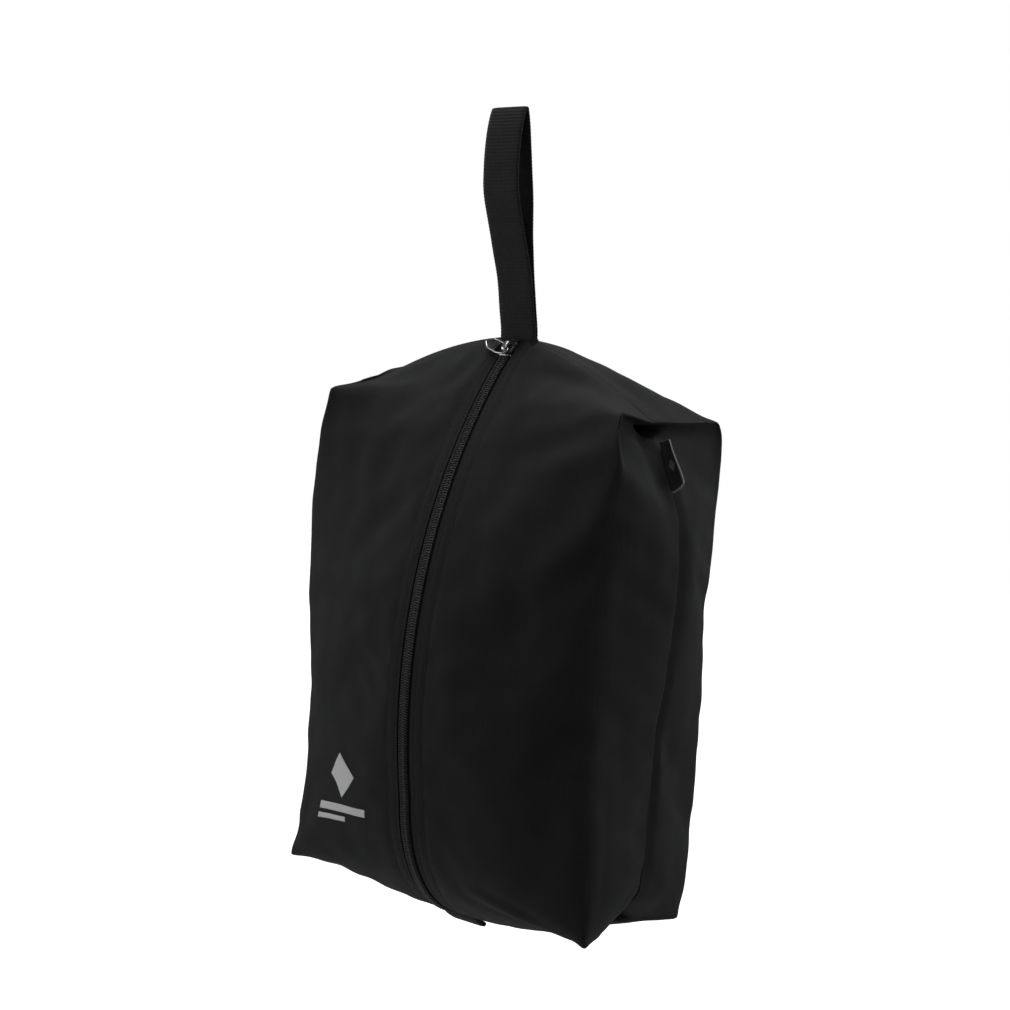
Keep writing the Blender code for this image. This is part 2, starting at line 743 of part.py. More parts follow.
def pivot_at(name, parent, place, turn=None):
    made = bpy.data.objects.new(name, None)
    bpy.context.scene.collection.objects.link(made)
    made.parent = parent
    made.matrix_local = Matrix.Translation(place) @ (turn or Matrix.Identity(4))
    return made


def build():
    clear_scene()
    group = collection("shoe_bag")
    cutters = collection("shoe_bag_cutters")
    bag = pivot_at("bag_frame", None, Vector((0.0, -HANG_Y, -HANG_Z)))

    front_panel("front_right_panel", group, bag, right=True)
    front_panel("front_left_panel", group, bag, right=False)
    back_panel(group, bag)
    ridge_bindings(group, bag)
    side_bindings(group, bag)
    for side, right in (("right", True), ("left", False)):
        zip_strip("zip_tape_" + side, group, bag, right, (ZIP_SLIT, CLOTH_EDGE, TAPE_EDGE),
                  TAPE_TOP, TAPE, TAPE_BLACK)
        zip_strip("zip_coil_" + side, group, bag, right, (ZIP_SLIT, COIL_EDGE),
                  COIL_TOP, COIL, COIL_BLACK)
        sewn_row("zip_edge_stitch_" + side, group, bag, right, EDGE_ROW_X)
        sewn_row("zip_outer_stitch_" + side, group, bag, right, OUTER_ROW_X)
    printed_mark(group, bag)

    arc_centre = pivot_at("slider_pivot", bag, Vector((0.0, ARC_Y, ARC_Z)))
    slider_body(group, cutters, arc_centre)
    slider_bridge(group, arc_centre)

    leg = slider_matrix() @ Matrix.Translation((0.0, -BRIDGE_LEG_Y, 0.0))
    lean = Matrix.Rotation(-PULLER_LEAN, 4, "Z")
    puller = pivot_at("puller_pivot", arc_centre, Vector((0.0, 0.0, 0.0)), leg @ lean)
    puller_frame(group, puller)
    puller_insert(group, puller)

    handle(group, pivot_at("handle_pivot", bag, Vector((0.0, RIDGE_Y, HINGE_Z))))
    tab_lean = Matrix.Rotation(TAB_LEAN, 4, "X")
    bottom_tab(group, pivot_at("tab_pivot", bag, Vector((0.0, FOOT_Y, TAB_HINGE_Z)), tab_lean))

    top = Vector((LABEL_TOP[0], 0.0, LABEL_TOP[1]))
    low = Vector((LABEL_BOTTOM[0], 0.0, LABEL_BOTTOM[1]))
    run = (top - low).normalized()
    out = Vector((run.z, 0.0, -run.x))
    turn = Matrix((out, Vector((0.0, 1.0, 0.0)), run)).transposed().to_4x4()
    label_pivot = pivot_at("label_pivot", bag, (top + low) / 2.0 + out * LABEL_OFF, turn)
    side_label(group, label_pivot, (top - low).length)


build()
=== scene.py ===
"""The looks of a soft zip pouch for shoes, hung from its webbing loop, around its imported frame.

All shapes are worked out in the bag's own frame: z = 0 at the bottom corners, y = 0 in the plane of
the ridges and side seams, -Y to the front, +X to the labelled side. v runs up a panel from the foot
ridge (0) to the top ridge (1), and the top and bottom flaps take the share FLAP of it each.
"""

import json
import math

import bpy
import numpy as np
from mathutils import Matrix, Vector


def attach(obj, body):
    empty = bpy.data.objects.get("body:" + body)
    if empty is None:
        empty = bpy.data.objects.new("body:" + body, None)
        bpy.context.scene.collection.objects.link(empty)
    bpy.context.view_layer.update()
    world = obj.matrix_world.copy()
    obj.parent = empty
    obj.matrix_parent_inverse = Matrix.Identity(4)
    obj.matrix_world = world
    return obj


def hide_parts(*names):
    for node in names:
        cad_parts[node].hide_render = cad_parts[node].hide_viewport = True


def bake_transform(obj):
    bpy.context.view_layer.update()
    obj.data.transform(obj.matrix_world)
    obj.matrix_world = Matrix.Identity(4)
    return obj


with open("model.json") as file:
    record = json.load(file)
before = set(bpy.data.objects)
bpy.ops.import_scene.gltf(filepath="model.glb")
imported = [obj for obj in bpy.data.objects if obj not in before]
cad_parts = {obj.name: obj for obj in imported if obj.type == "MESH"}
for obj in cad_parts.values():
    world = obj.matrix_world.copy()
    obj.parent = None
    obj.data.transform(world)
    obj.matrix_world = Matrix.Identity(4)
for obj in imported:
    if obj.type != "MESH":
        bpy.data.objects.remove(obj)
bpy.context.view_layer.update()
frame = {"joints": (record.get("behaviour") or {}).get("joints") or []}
JOINTS = {joint["name"]: joint for joint in frame["joints"]}

MM = 0.001
RIGHT, LEFT = 1.0, -1.0
FRONT, BACK = -1.0, 1.0
SIDES = ((RIGHT, "right"), (LEFT, "left"))
TINY = 1e-12

# the corners, ridges and side seams
CORNER = (0.105, 0.048, 0.280)
EAR = (0.107, 0.047, -0.002)
EDGE_BOW = 0.0025
RIDGE_Y = -0.007                    # the ridges lean forward in the middle
RIDGE_Z = 0.3185
RIDGE_END_X = 0.0925
RIDGE_END_Z = {RIGHT: 0.2725, LEFT: 0.2975}
PLAIN_FALL = 2.0                    # the power by which a row falls from its middle to its end
RIDGE_FALL = {RIGHT: 1.5, LEFT: 1.7}
RIDGE_TIP_RISE = {RIGHT: 3.2 * MM, LEFT: 0.0}
FOOT_Y = -0.0135
FOOT_Z = -0.0140
FOOT_END = (0.0955, 0.0, 0.0015)
FOOT_FALL = 2.6
LEAN_TOP_Z = (0.250, 0.290)
LEAN_LOW_Z = (0.040, 0.005)
SEAM_X = 0.1175
SEAM_MID_Z = 0.140
SEAM_UP_POWER = 4                   # how late the seam turns in towards its top and its bottom
SEAM_DOWN_POWER = 8
SEAM_TOP_X = 0.0938
SEAM_TOP_DROP = 0.0065
SEAM_TURN_DROP = 0.0225
SEAM_BOTTOM = (0.0975, 0.0110)
SEAM_TURN_BOTTOM_Z = 0.032
TUCK_TOP_X = 0.062                  # where the tucked side seam ends, inside the ridges
TUCK_TOP_DROP = 0.0025
TUCK_BOTTOM = (0.066, 0.0080)
FLAP = 0.13
FLAP_OUTER = 0.6                    # the share of a flap over which its side seam still shows

# how far the upright edges and the side seams stray from straight, as (height, outwards in mm)
EDGE_SWAY = {
    (RIGHT, FRONT): ((-0.004, 3.4), (0.050, 1.5), (0.130, -2.6), (0.180, -2.2), (0.232, -3.6),
                     (0.254, 2.6), (0.267, -1.2), (0.280, 0.0)),
    (LEFT, FRONT): ((-0.002, 2.5), (0.015, -1.6), (0.050, -7.5), (0.100, -7.0), (0.124, -4.0),
                    (0.171, 3.0), (0.231, 8.0), (0.255, 7.3), (0.280, 1.5)),
    (RIGHT, BACK): ((0.0, 1.5), (0.020, 5.0), (0.050, 3.5), (0.090, 0.3), (0.140, 2.4), (0.230, 1.9),
                    (0.253, 4.5), (0.270, 3.2), (0.280, 1.0)),
    (LEFT, BACK): ((0.0, 0.0), (0.060, -1.5), (0.150, 2.0), (0.220, 3.0), (0.280, 0.0)),
}
SEAM_SWAY = {
    RIGHT: ((0.020, 3.0), (0.034, 0.0), (0.066, -3.0), (0.109, -3.8), (0.144, 0.0), (0.180, 1.3),
            (0.220, 2.8), (0.260, 1.2)),
    LEFT: ((0.030, 0.0), (0.080, 2.0), (0.150, -2.0), (0.220, 1.0), (0.260, 0.0)),
}

# how far the side sinks in under the top flap's fold, and over which shares of its height and width
POCKET_DEPTH = {(RIGHT, FRONT): 8.0 * MM, (RIGHT, BACK): 3.0 * MM,
                (LEFT, FRONT): 4.0 * MM, (LEFT, BACK): 3.0 * MM}
POCKET_RAMP = 0.13
POCKET_FULL = (0.14, 0.72)

# how far the cloth turns in beside the side seam, and how wide that turn is
SEAM_TURN_IN = 3.0 * MM
SEAM_ROLL = {FRONT: 1.6 * MM, BACK: 4.5 * MM}

# the middle lines of the front and the back, as (y, z)
ARC_R = 0.2981
ARC_TOP = math.radians(39.4)
ARC_BOTTOM = math.radians(-12.9)
FRONT_BENDS = ((-0.0400, -0.0115), (-0.0680, 0.0125))
LAST_ROW = 1.0 - FLAP / 4.0
BACK_FLAT_LINE = ((0.064, 0.060), (0.064, 0.240))
BACK_LOW_BENDS = ((0.036, -0.0140), (0.062, 0.0150))
BACK_TOP_BENDS = ((0.063, 0.3020), (0.038, 0.3170))
BACK_FLAT = 0.45
FRONT_FULLNESS = 2.2

# the cloth beside the zip
HEM_X = 4.5 * MM
HEM_R = 0.4 * MM
CLOTH = 0.45 * MM
CLOTH_PITCH = 0.5 * MM
STITCH_ROWS = (7.2 * MM, 12.6 * MM)
STITCH_LENGTH = 2.5 * MM
STITCH_GAP = 0.55 * MM
ROW_END = 4.0 * MM                  # where a row of stitches starts and stops, from the ridges
GROOVE_WIDTH = 0.9 * MM
GROOVE_DEPTH = 0.11 * MM
PUCKER_PITCH = 5.5 * MM
SWELL = (9.9 * MM, 2.4 * MM, 0.12 * MM)     # the raised cloth between the rows: place, width, height
SURFACE_GAP = 0.05 * MM             # between each panel and the surface that parts front and back
SIDE_DEPTH = 48.0 * MM

# the zip
HINGE_Z = RIDGE_Z + 2.2 * MM
TAPE_TOP = -0.9 * MM
TAPE = 0.6 * MM
TAPE_EDGE = 14.0 * MM
COIL_PITCH = 1.4 * MM
COIL_START = 0.02                   # as a share of the front's middle line
COIL_SHARE = 0.965
COIL_WIRE = 0.40 * MM
COIL_X = (-0.25 * MM, 3.05 * MM)
COIL_H = (-0.50 * MM, 0.62 * MM)
THREAD_R = 0.2 * MM
COIL_THREAD_X = 1.75 * MM
COIL_THREAD_R = 0.13 * MM
COIL_THREAD_SHARE = 0.96

# webbing
WEB = 1.6 * MM
WEB_WIDTH = 25.0 * MM
RIB = 1.9 * MM
RIB_DEPTH = 0.20 * MM
EDGE_RIB = 0.12 * MM
EDGE_WOBBLE = 0.10 * MM
WOBBLE_STEP = 0.011
WEB_POINTS = 13                     # across one face
NEAR_STRAND = ((-0.00795, 0.3209), (-0.0115, 0.3350), (-0.0160, 0.3520), (-0.0243, 0.3722),
               (-0.0335, 0.3950), (-0.0357, 0.4090), (-0.0361, 0.4220), (-0.0350, 0.4345))
FAR_STRAND = ((-0.00605, 0.3209), (-0.0094, 0.3350), (-0.0134, 0.3520), (-0.0175, 0.3722),
              (-0.0206, 0.3950), (-0.0235, 0.4090), (-0.0262, 0.4220), (-0.0288, 0.4345))
FOLD_TOP = (-0.0322, 0.4435)
FOOT_DEPTH = 9.0 * MM               # how deep the handle's ends reach into the ridge
TAB_LENGTH = 8.5 * MM
TAB_HINGE_Z = FOOT_Z - 2.3 * MM
TAB_LEAN = math.radians(60.0)


def joint_place(name):
    return np.array(JOINTS[name]["pos_m"])


BAG = joint_place("bag_swing") - (0.0, RIDGE_Y, HINGE_Z)
ARC_CENTRE = (joint_place("zip_travel") - BAG)[1:]


# ------------------------------------------------------------------ numbers and lines

def mix(a, b, share):
    return a + (b - a) * share


def ramp(low, high, value):
    """0 up to low and 1 from high on, straight in between; high may be the smaller one."""
    return np.clip((value - low) / (high - low), 0.0, 1.0)


def smooth(low, high, value):
    """A ramp that is eased at both ends."""
    share = ramp(low, high, value)
    return share * share * (3.0 - 2.0 * share)


def bump_at(distance, width):
    """A soft hump, 1 in its middle."""
    return np.exp(-(distance / width) ** 2)


def unit(vectors):
    return vectors / np.maximum(np.linalg.norm(vectors, axis=-1, keepdims=True), TINY)


def stacked(*columns):
    """Values of fitting shapes, side by side along a new last axis."""
    return np.stack(np.broadcast_arrays(*columns), -1)


def eased(table, place):
    """The value at each place, eased between (place, value) pairs."""
    places, values = (np.array(column) for column in zip(*table))
    inside = np.clip(place, places[0], places[-1])
    index = np.clip(np.searchsorted(places, inside) - 1, 0, len(places) - 2)
    return mix(values[index], values[index + 1], smooth(places[index], places[index + 1], inside))


def bezier(points, share):
    level = [np.array(p, float)[None, :] for p in points]
    share = share[:, None]
    while len(level) > 1:
        level = [mix(a, b, share) for a, b in zip(level, level[1:])]
    return level[0]


def run_lengths(points):
    """The length of a polyline up to each of its points."""
    return np.concatenate([[0.0], np.cumsum(np.linalg.norm(np.diff(points, axis=0), axis=1))])


def read_at(place, places, points):
    """The points of a line at some places along it, between the places of its own points."""
    return np.stack([np.interp(place, places, column) for column in points.T], -1)


def by_length(points):
    """A reader of a polyline's point at a share of its length."""
    lengths = run_lengths(points)
    marks = lengths / lengths[-1]
    return lambda share: read_at(share, marks, points)


def directions(run):
    """Along a line of (y, z) points, and square to it."""
    along = unit(np.gradient(run, axis=0))
    return along, np.stack([-along[:, 1], along[:, 0]], -1)


def on_arc(angle):
    return np.stack([ARC_CENTRE[0] - ARC_R * np.cos(angle), ARC_CENTRE[1] + ARC_R * np.sin(angle)], -1)


def front_middle_reader():
    foot = (FOOT_Y, FOOT_Z)
    bend = bezier((foot, *FRONT_BENDS, on_arc(ARC_BOTTOM)), np.linspace(0.0, 1.0, 80)[:-1])
    arc = on_arc(np.linspace(ARC_BOTTOM, ARC_TOP, 240))
    read = by_length(np.concatenate([bend, arc]))

    def middle(v):
        v = np.asarray(v, float)
        run = ramp(LAST_ROW, 1.0, v)[..., None]
        return mix(read(ramp(0.0, LAST_ROW, v)), np.array((RIDGE_Y, RIDGE_Z)), run)

    return middle


def back_middle_reader():
    share = np.linspace(0.0, 1.0, 80)
    low = bezier(((FOOT_Y, FOOT_Z), *BACK_LOW_BENDS, BACK_FLAT_LINE[0]), share)
    top = bezier((BACK_FLAT_LINE[1], *BACK_TOP_BENDS, (RIDGE_Y, RIDGE_Z)), share)
    return by_length(np.concatenate([low, top]))


FRONT_MIDDLE = front_middle_reader()
BACK_MIDDLE = back_middle_reader()


# ------------------------------------------------------------------ the cloth's shape

def edge_line(v, side, face):
    """The fold between a face and its side: from the foot ridge to the ear, the corner and the ridge."""
    stops = (0.0, FLAP, 1.0 - FLAP, 1.0)
    tip = (RIDGE_END_X, 0.0, RIDGE_END_Z[side] + RIDGE_TIP_RISE[side])
    points = np.array((FOOT_END, EAR, CORNER, tip))
    line = np.stack([np.interp(v, stops, points[:, k]) for k in range(3)], -1)
    bow = EDGE_BOW * np.sin(math.pi * ramp(FLAP, 1.0 - FLAP, v))
    inner = smooth(0.0, FLAP, v) * smooth(1.0, 1.0 - FLAP, v)
    line[..., 0] += bow + inner * eased(EDGE_SWAY[side, face], line[..., 2]) * MM
    line[..., 1] += bow
    return line


def seam_x(z, side):
    top = ramp(SEAM_MID_Z, RIDGE_END_Z[side] - SEAM_TOP_DROP, z) ** SEAM_UP_POWER
    bottom = ramp(SEAM_MID_Z, SEAM_BOTTOM[1], z) ** SEAM_DOWN_POWER
    x = SEAM_X + (SEAM_TOP_X - SEAM_X) * top + (SEAM_BOTTOM[0] - SEAM_X) * bottom
    return x + eased(SEAM_SWAY[side], z) * MM


def seam_line(v, side):
    """The side seam: outside between the flaps, then tucked in between the ridge's two flaps."""
    outer = FLAP * FLAP_OUTER
    end_z = RIDGE_END_Z[side]
    stops = (0.0, FLAP - outer, FLAP, 1.0 - FLAP, 1.0 - FLAP + outer, 1.0)
    heights = (TUCK_BOTTOM[1], SEAM_BOTTOM[1], SEAM_TURN_BOTTOM_Z, end_z - SEAM_TURN_DROP,
               end_z - SEAM_TOP_DROP, end_z - TUCK_TOP_DROP)
    z = np.interp(v, stops, heights)
    x = mix(seam_x(z, side), TUCK_BOTTOM[0], smooth(FLAP - outer, 0.0, v))
    x = mix(x, TUCK_TOP_X, smooth(1.0 - FLAP + outer, 1.0, v))
    return np.stack([x, np.zeros_like(x), z], -1)


def lean_y(x, middle_y):
    return middle_y * (1.0 - np.minimum(np.abs(x) / RIDGE_END_X, 1.0) ** FRONT_FULLNESS)


def halves_y(points):
    """The y of the surface between the front and the back half, which leans at the ridges."""
    x, z = points[..., 0], points[..., 2]
    return ramp(*LEAN_TOP_Z, z) * lean_y(x, RIDGE_Y) + ramp(*LEAN_LOW_Z, z) * lean_y(x, FOOT_Y)


def face_points(share, v, side, face):
    """A face's points, unmirrored, at shares of the way from its middle to its edge."""
    edge = edge_line(v, side, face)
    middle = FRONT_MIDDLE(v) if face == FRONT else BACK_MIDDLE(v)
    out = share ** FRONT_FULLNESS
    if face == BACK:
        out = mix(out, ramp(BACK_FLAT, 1.0, share) ** 2, ramp(0.0, FLAP, np.minimum(v, 1.0 - v)))
    y = mix(middle[..., 0], face * edge[..., 1], out)
    fall = mix(PLAIN_FALL, RIDGE_FALL[side], ramp(1.0 - FLAP, 1.0, v))
    fall = fall + (FOOT_FALL - PLAIN_FALL) * ramp(FLAP, 0.0, v)
    z = mix(middle[..., 1], edge[..., 2], share ** fall)
    return np.stack([share * edge[..., 0], y, z], -1)


def side_points(share, v, side, face):
    """The side's points, unmirrored, from the edge (0) to the side seam (1)."""
    edge = edge_line(v, side, face)
    seam = seam_line(v, side)
    x = mix(edge[..., 0], seam[..., 0], np.sin(share * math.pi / 2.0))
    y = face * edge[..., 1] * (1.0 - share)
    z = mix(edge[..., 2], seam[..., 2], share)
    roll = bump_at((1.0 - share) * SIDE_DEPTH, SEAM_ROLL[face])
    upright = smooth(FLAP * 0.6, FLAP * 1.3, v) * smooth(1.0 - FLAP * 0.6, 1.0 - FLAP * 1.3, v)
    x = x - SEAM_TURN_IN * roll * upright
    depth = POCKET_DEPTH[side, face] * smooth(0.0, POCKET_FULL[0], share) * smooth(1.0, POCKET_FULL[1], share)
    x = x - depth * smooth(1.0 - FLAP - POCKET_RAMP, 1.0 - FLAP, v) * smooth(1.0, 1.0 - 0.35 * FLAP, v)
    return np.stack([x, y, z], -1)


# ------------------------------------------------------------------ folds and waves in the cloth

# soft folds as (from, to, half width, depth), in metres; a negative depth stands out
CREASES = (
    ((0.022, -0.022, 0.308), (0.034, -0.052, 0.284), 0.0070, 0.0014),
    ((-0.016, -0.016, 0.311), (-0.028, -0.046, 0.290), 0.0065, 0.0016),
    ((0.100, -0.052, 0.262), (0.050, -0.064, 0.246), 0.0085, -0.0016),
    ((0.098, -0.056, 0.246), (0.060, -0.072, 0.205), 0.0110, 0.0020),
    ((0.072, -0.068, 0.200), (0.060, -0.072, 0.120), 0.0160, 0.0016),
    ((-0.020, -0.078, 0.118), (-0.040, -0.072, 0.138), 0.0045, 0.0008),
    ((0.098, -0.050, 0.090), (0.100, -0.048, 0.030), 0.0080, -0.0012),
    ((0.040, -0.060, 0.012), (0.096, -0.048, -0.004), 0.0040, -0.0022),
    ((-0.075, -0.056, 0.030), (-0.104, -0.048, 0.006), 0.0060, -0.0012),
    ((0.030, -0.013, 0.308), (0.084, -0.010, 0.279), 0.0055, -0.0018),
    ((0.030, 0.002, 0.310), (0.084, 0.009, 0.280), 0.0055, 0.0020),
)
CREASE_END = 0.35                   # the share of its depth that a fold has at its ends
BANK = 0.35                         # the rise beside a fold, as shares of its depth and its width
BANK_PLACE = 1.9
BANK_WIDTH = 0.8

# the random relief as (height, wavelength, how many waves), and its seeds
RELIEF = ((0.55 * MM, 0.075, 14), (0.16 * MM, 0.022, 18))
FRONT_SEED = {RIGHT: 31, LEFT: 47}
BACK_SEED = 63
ZIP_FADE = (3.0 * MM, 30.0 * MM)    # the distances from the zip over which the relief comes in
RIDGE_FADE = 0.03                   # the same from the ridges, as a share of the panel's length
FAR = 0.2                           # a distance that is well away from the zip


def capsule(points, start, end):
    """Each point's distance to a stretch, and how far along it is."""
    start, end = np.array(start), np.array(end)
    run = end - start
    share = np.clip((points - start) @ run / (run @ run), 0.0, 1.0)
    return np.linalg.norm(points - start - share[..., None] * run, axis=-1), share


def crease_depth(points):
    total = np.zeros(points.shape[:-1])
    for start, end, width, depth in CREASES:
        distance, share = capsule(points, start, end)
        fade = CREASE_END + (1.0 - CREASE_END) * np.sin(math.pi * np.clip(share, 0.02, 0.98))
        bank = BANK * bump_at(distance - BANK_PLACE * width, BANK_WIDTH * width)
        valley = bump_at(distance, width) - bank
        total -= depth * fade * valley
    return total


def waves(points, wavelength, count, seed):
    """A smooth random height of about unit size: a sum of waves in all directions."""
    draw = np.random.default_rng(seed)
    total = np.zeros(points.shape[:-1])
    for _ in range(count):
        heading = draw.normal(size=3)
        heading *= 2.0 * math.pi / (wavelength * draw.uniform(0.7, 1.5) * np.linalg.norm(heading))
        total += np.sin(points @ heading + draw.uniform(0.0, 2.0 * math.pi))
    return total / math.sqrt(count / 2.0)


def grid_normals(points, sense):
    across = np.gradient(points, axis=1)
    along = np.gradient(points, axis=0)
    return unit(np.cross(across, along) * sense)


def soften(points, weight, rounds):
    """Evens the points along each row and column, by weight, and leaves the border."""
    for _ in range(rounds):
        inner = points[1:-1, 1:-1]
        even = 0.3 * (points[1:-1, 2:] + points[1:-1, :-2]) + 0.2 * (points[2:, 1:-1] + points[:-2, 1:-1])
        points[1:-1, 1:-1] = mix(inner, even, weight[1:-1, 1:-1, None])
    return points


def round_folds(points, fold):
    """Evens a grid across the edge fold, which is at its column fold, and where the flaps turn."""
    v = ROW_V[:, None]
    near_fold = bump_at(np.arange(points.shape[1]) - fold, FOLD_COLUMNS)[None, :]
    upright = smooth(FLAP, FLAP + 0.10, v) * smooth(1.0 - FLAP, 1.0 - FLAP - 0.12, v)
    flap_fold = bump_at(v - FLAP, FLAP_FOLD) + bump_at(v - 1.0 + FLAP, FLAP_FOLD)
    weight = near_fold * (0.06 + 0.94 * upright) + 0.5 * flap_fold * (1.0 - near_fold)
    return soften(points, np.clip(weight, 0.0, 1.0), FOLD_ROUNDS)


def steps(*stops):
    """Positions from stop to stop, each (end, step) pair adding even steps of about that size."""
    run = [stops[0]]
    for end, step in stops[1:]:
        count = max(1, round(abs(end - run[-1]) / step))
        run += list(np.linspace(run[-1], end, count + 1)[1:])
    return np.array(run)


ROW_V = steps(0.0, (0.006, 0.0015), (FLAP, 0.0055), (1.0 - FLAP, 0.0058), (0.99, 0.0055), (1.0, 0.0015))
FRONT_X = steps(HEM_X + HEM_R, (15.0 * MM, 0.7 * MM), (92.0 * MM, 2.1 * MM), (104.0 * MM, 1.2 * MM))
BACK_SHARE = steps(0.0, (0.86, 0.019), (1.0, 0.011))
SIDE_SHARE = steps(0.0, (0.15, 0.022), (0.85, 0.042), (1.0, 0.014))
FOLD_COLUMNS = 5.0                  # the half width of the rounded edge fold, in columns
FLAP_FOLD = 0.035                   # and of the flaps' folds, in v
FOLD_ROUNDS = 30
COARSE_ROWS = 2                     # the coarse copy takes every second row and every third column
COARSE_COLUMNS = 3
HELD_X = 16.0 * MM                  # the cloth that is nearer to the zip than this holds still
HEM_COLUMNS = 6
CLOTH_SPARE = 0.012                 # how much too large the cloth is for its place
RELAX_FRAMES = 25
MOST_SHIFT = 6.0 * MM
BROAD_ROUNDS = 60                   # how much evening leaves only the broad bulge
BROAD_LEFT_OUT = 0.8
FINE_ROUNDS = 6
SHIFT_SHARE = 0.6
RIDGE_FREE = (2.0 * MM, 26.0 * MM)  # the distances from a ridge and a seam over which it comes in
SEAM_FREE = (1.0 * MM, 14.0 * MM)
PANEL_WIDTH = 0.105
HALF_SIZE = PANEL_WIDTH + SIDE_DEPTH
FRONT_LENGTH = 0.372
BACK_LENGTH = 0.417
CLOTH_SETTINGS = {
    "quality": 5,
    "mass": 0.02,
    "tension_stiffness": 30.0,
    "compression_stiffness": 30.0,
    "shear_stiffness": 15.0,
    "bending_stiffness": 0.4,
    "air_damping": 4.0,
    "shrink_min": -CLOTH_SPARE,
    "shrink_max": -CLOTH_SPARE,
    "vertex_group_mass": "held",
}


class Panel:
    """A cloth panel as a grid of points, with the flat place of every point for its weave."""

    def __init__(self, points, flat, sense, sewn=0):
        self.points = points
        self.flat = flat
        self.sense = sense
        self.sewn = sewn                # how many of its first columns the zip's sewing holds

    def normals(self):
        return grid_normals(self.points, self.sense)


def relieved(points, normals, zip_off, seed):
    """The grid with the cloth's folds and waves, which fade towards the zip and the ridges."""
    ridge_off = np.minimum(ROW_V, 1.0 - ROW_V)[:, None]
    free = smooth(*ZIP_FADE, zip_off) * smooth(0.0, RIDGE_FADE, ridge_off)
    depth = crease_depth(points) * free
    for number, (height, wavelength, count) in enumerate(RELIEF):
        depth += height * waves(points, wavelength, count, seed + number) * free
    return points + normals * depth[..., None]


def front_panel_grid(side):
    v = ROW_V[:, None]
    edge_x = edge_line(v, side, FRONT)[..., 0]
    start = (HEM_X + HEM_R) / edge_x
    share = mix(start, 1.0, (FRONT_X[None, :] - FRONT_X[0]) / (FRONT_X[-1] - FRONT_X[0]))
    face = face_points(share, v, side, FRONT)
    rest = side_points(SIDE_SHARE[None, 1:], v, side, FRONT)
    points = round_folds(np.concatenate([face, rest], axis=1), len(FRONT_X) - 1)
    mirror = (side, 1.0, 1.0)
    zip_off = np.concatenate([share * edge_x, np.full((len(v), len(SIDE_SHARE) - 1), FAR)], axis=1)
    points = relieved(points * mirror, grid_normals(points, 1.0) * mirror, zip_off, FRONT_SEED[side])
    row_length = (ROW_V * FRONT_LENGTH)[:, None]
    points = points + grid_normals(points, side) * sewn_relief(zip_off, row_length)[..., None]
    points = np.concatenate([hem_columns(side), points], axis=1)
    points[..., 1] = np.minimum(points[..., 1], halves_y(points) - SURFACE_GAP)
    flat_x = np.concatenate([HEM_X - HEM_R * np.linspace(3.1, 1.0, HEM_COLUMNS), FRONT_X,
                             PANEL_WIDTH + SIDE_SHARE[1:] * SIDE_DEPTH])
    flat = stacked(side * flat_x[None, :], row_length)
    return Panel(points, flat, side, HEM_COLUMNS + int((FRONT_X < HELD_X).sum()))


def sewn_relief(zip_off, length):
    """The grooves of the sewn rows, puckered along their length, and the swell between them."""
    pucker = 0.5 + 0.5 * np.sin(length * 2.0 * math.pi / PUCKER_PITCH + 1.7 * np.sin(length * 90.0))
    groove = sum(bump_at(zip_off - row, GROOVE_WIDTH) for row in STITCH_ROWS)
    place, width, height = SWELL
    return height * bump_at(zip_off - place, width) - groove * GROOVE_DEPTH * (0.6 + 0.8 * pucker)


def middle_frame(v):
    """The front's middle line and its outward direction, both as (y, z)."""
    step = 0.003
    along = FRONT_MIDDLE(np.minimum(v + step, 1.0)) - FRONT_MIDDLE(np.maximum(v - step, 0.0))
    along = unit(along)
    return FRONT_MIDDLE(v), np.stack([-along[..., 1], along[..., 0]], -1)


def beside_zip(x, v, height):
    """Points near the front's middle line, in the bag's frame."""
    middle, out = middle_frame(v)
    place = middle + out * np.asarray(height)[..., None]
    return stacked(x, place[..., 0], place[..., 1])


def hem_columns(side):
    """The folded edge of the cloth beside the coil: it turns under in a half circle."""
    turns = np.linspace(-math.pi / 2.0, math.pi / 2.0, HEM_COLUMNS + 1)[:-1]
    columns = []
    for turn in turns:
        x = HEM_X + HEM_R - HEM_R * math.cos(turn)
        height = HEM_R * (math.sin(turn) - 1.0)
        columns.append(beside_zip(side * x, ROW_V, np.full(len(ROW_V), height)))
    return np.stack(columns, axis=1)


def back_panel_grid():
    v = ROW_V[:, None]
    halves = []
    for side in (RIGHT, LEFT):
        face = face_points(BACK_SHARE[None, :], v, side, BACK)
        rest = side_points(SIDE_SHARE[None, 1:], v, side, BACK)
        half = round_folds(np.concatenate([face, rest], axis=1), len(BACK_SHARE) - 1)
        halves.append(half * (side, 1.0, 1.0))
    points = np.concatenate([halves[1][:, ::-1], halves[0][:, 1:]], axis=1)
    far = np.full(points.shape[:2], FAR)
    points = relieved(points, grid_normals(points, -1.0), far, BACK_SEED)
    points[..., 1] = np.maximum(points[..., 1], halves_y(points) + SURFACE_GAP)
    half_x = np.concatenate([BACK_SHARE * PANEL_WIDTH, PANEL_WIDTH + SIDE_SHARE[1:] * SIDE_DEPTH])
    flat_x = np.concatenate([-half_x[::-1], half_x[1:]])
    return Panel(points, stacked(flat_x[None, :], (ROW_V * BACK_LENGTH)[:, None]), -1.0)


def coarse_steps(count, stride):
    """Every stride-th index, and the last."""
    return np.array(sorted({count - 1, *range(0, count, stride)}))


def upsampled(values, rows, columns, shape):
    """Values at some rows and columns of a grid, read at all of them."""
    at_row, at_column = np.arange(shape[0]), np.arange(shape[1])
    wide = np.stack([np.interp(at_column, columns, line) for line in values])
    return np.stack([np.interp(at_row, rows, line) for line in wide.T], -1)


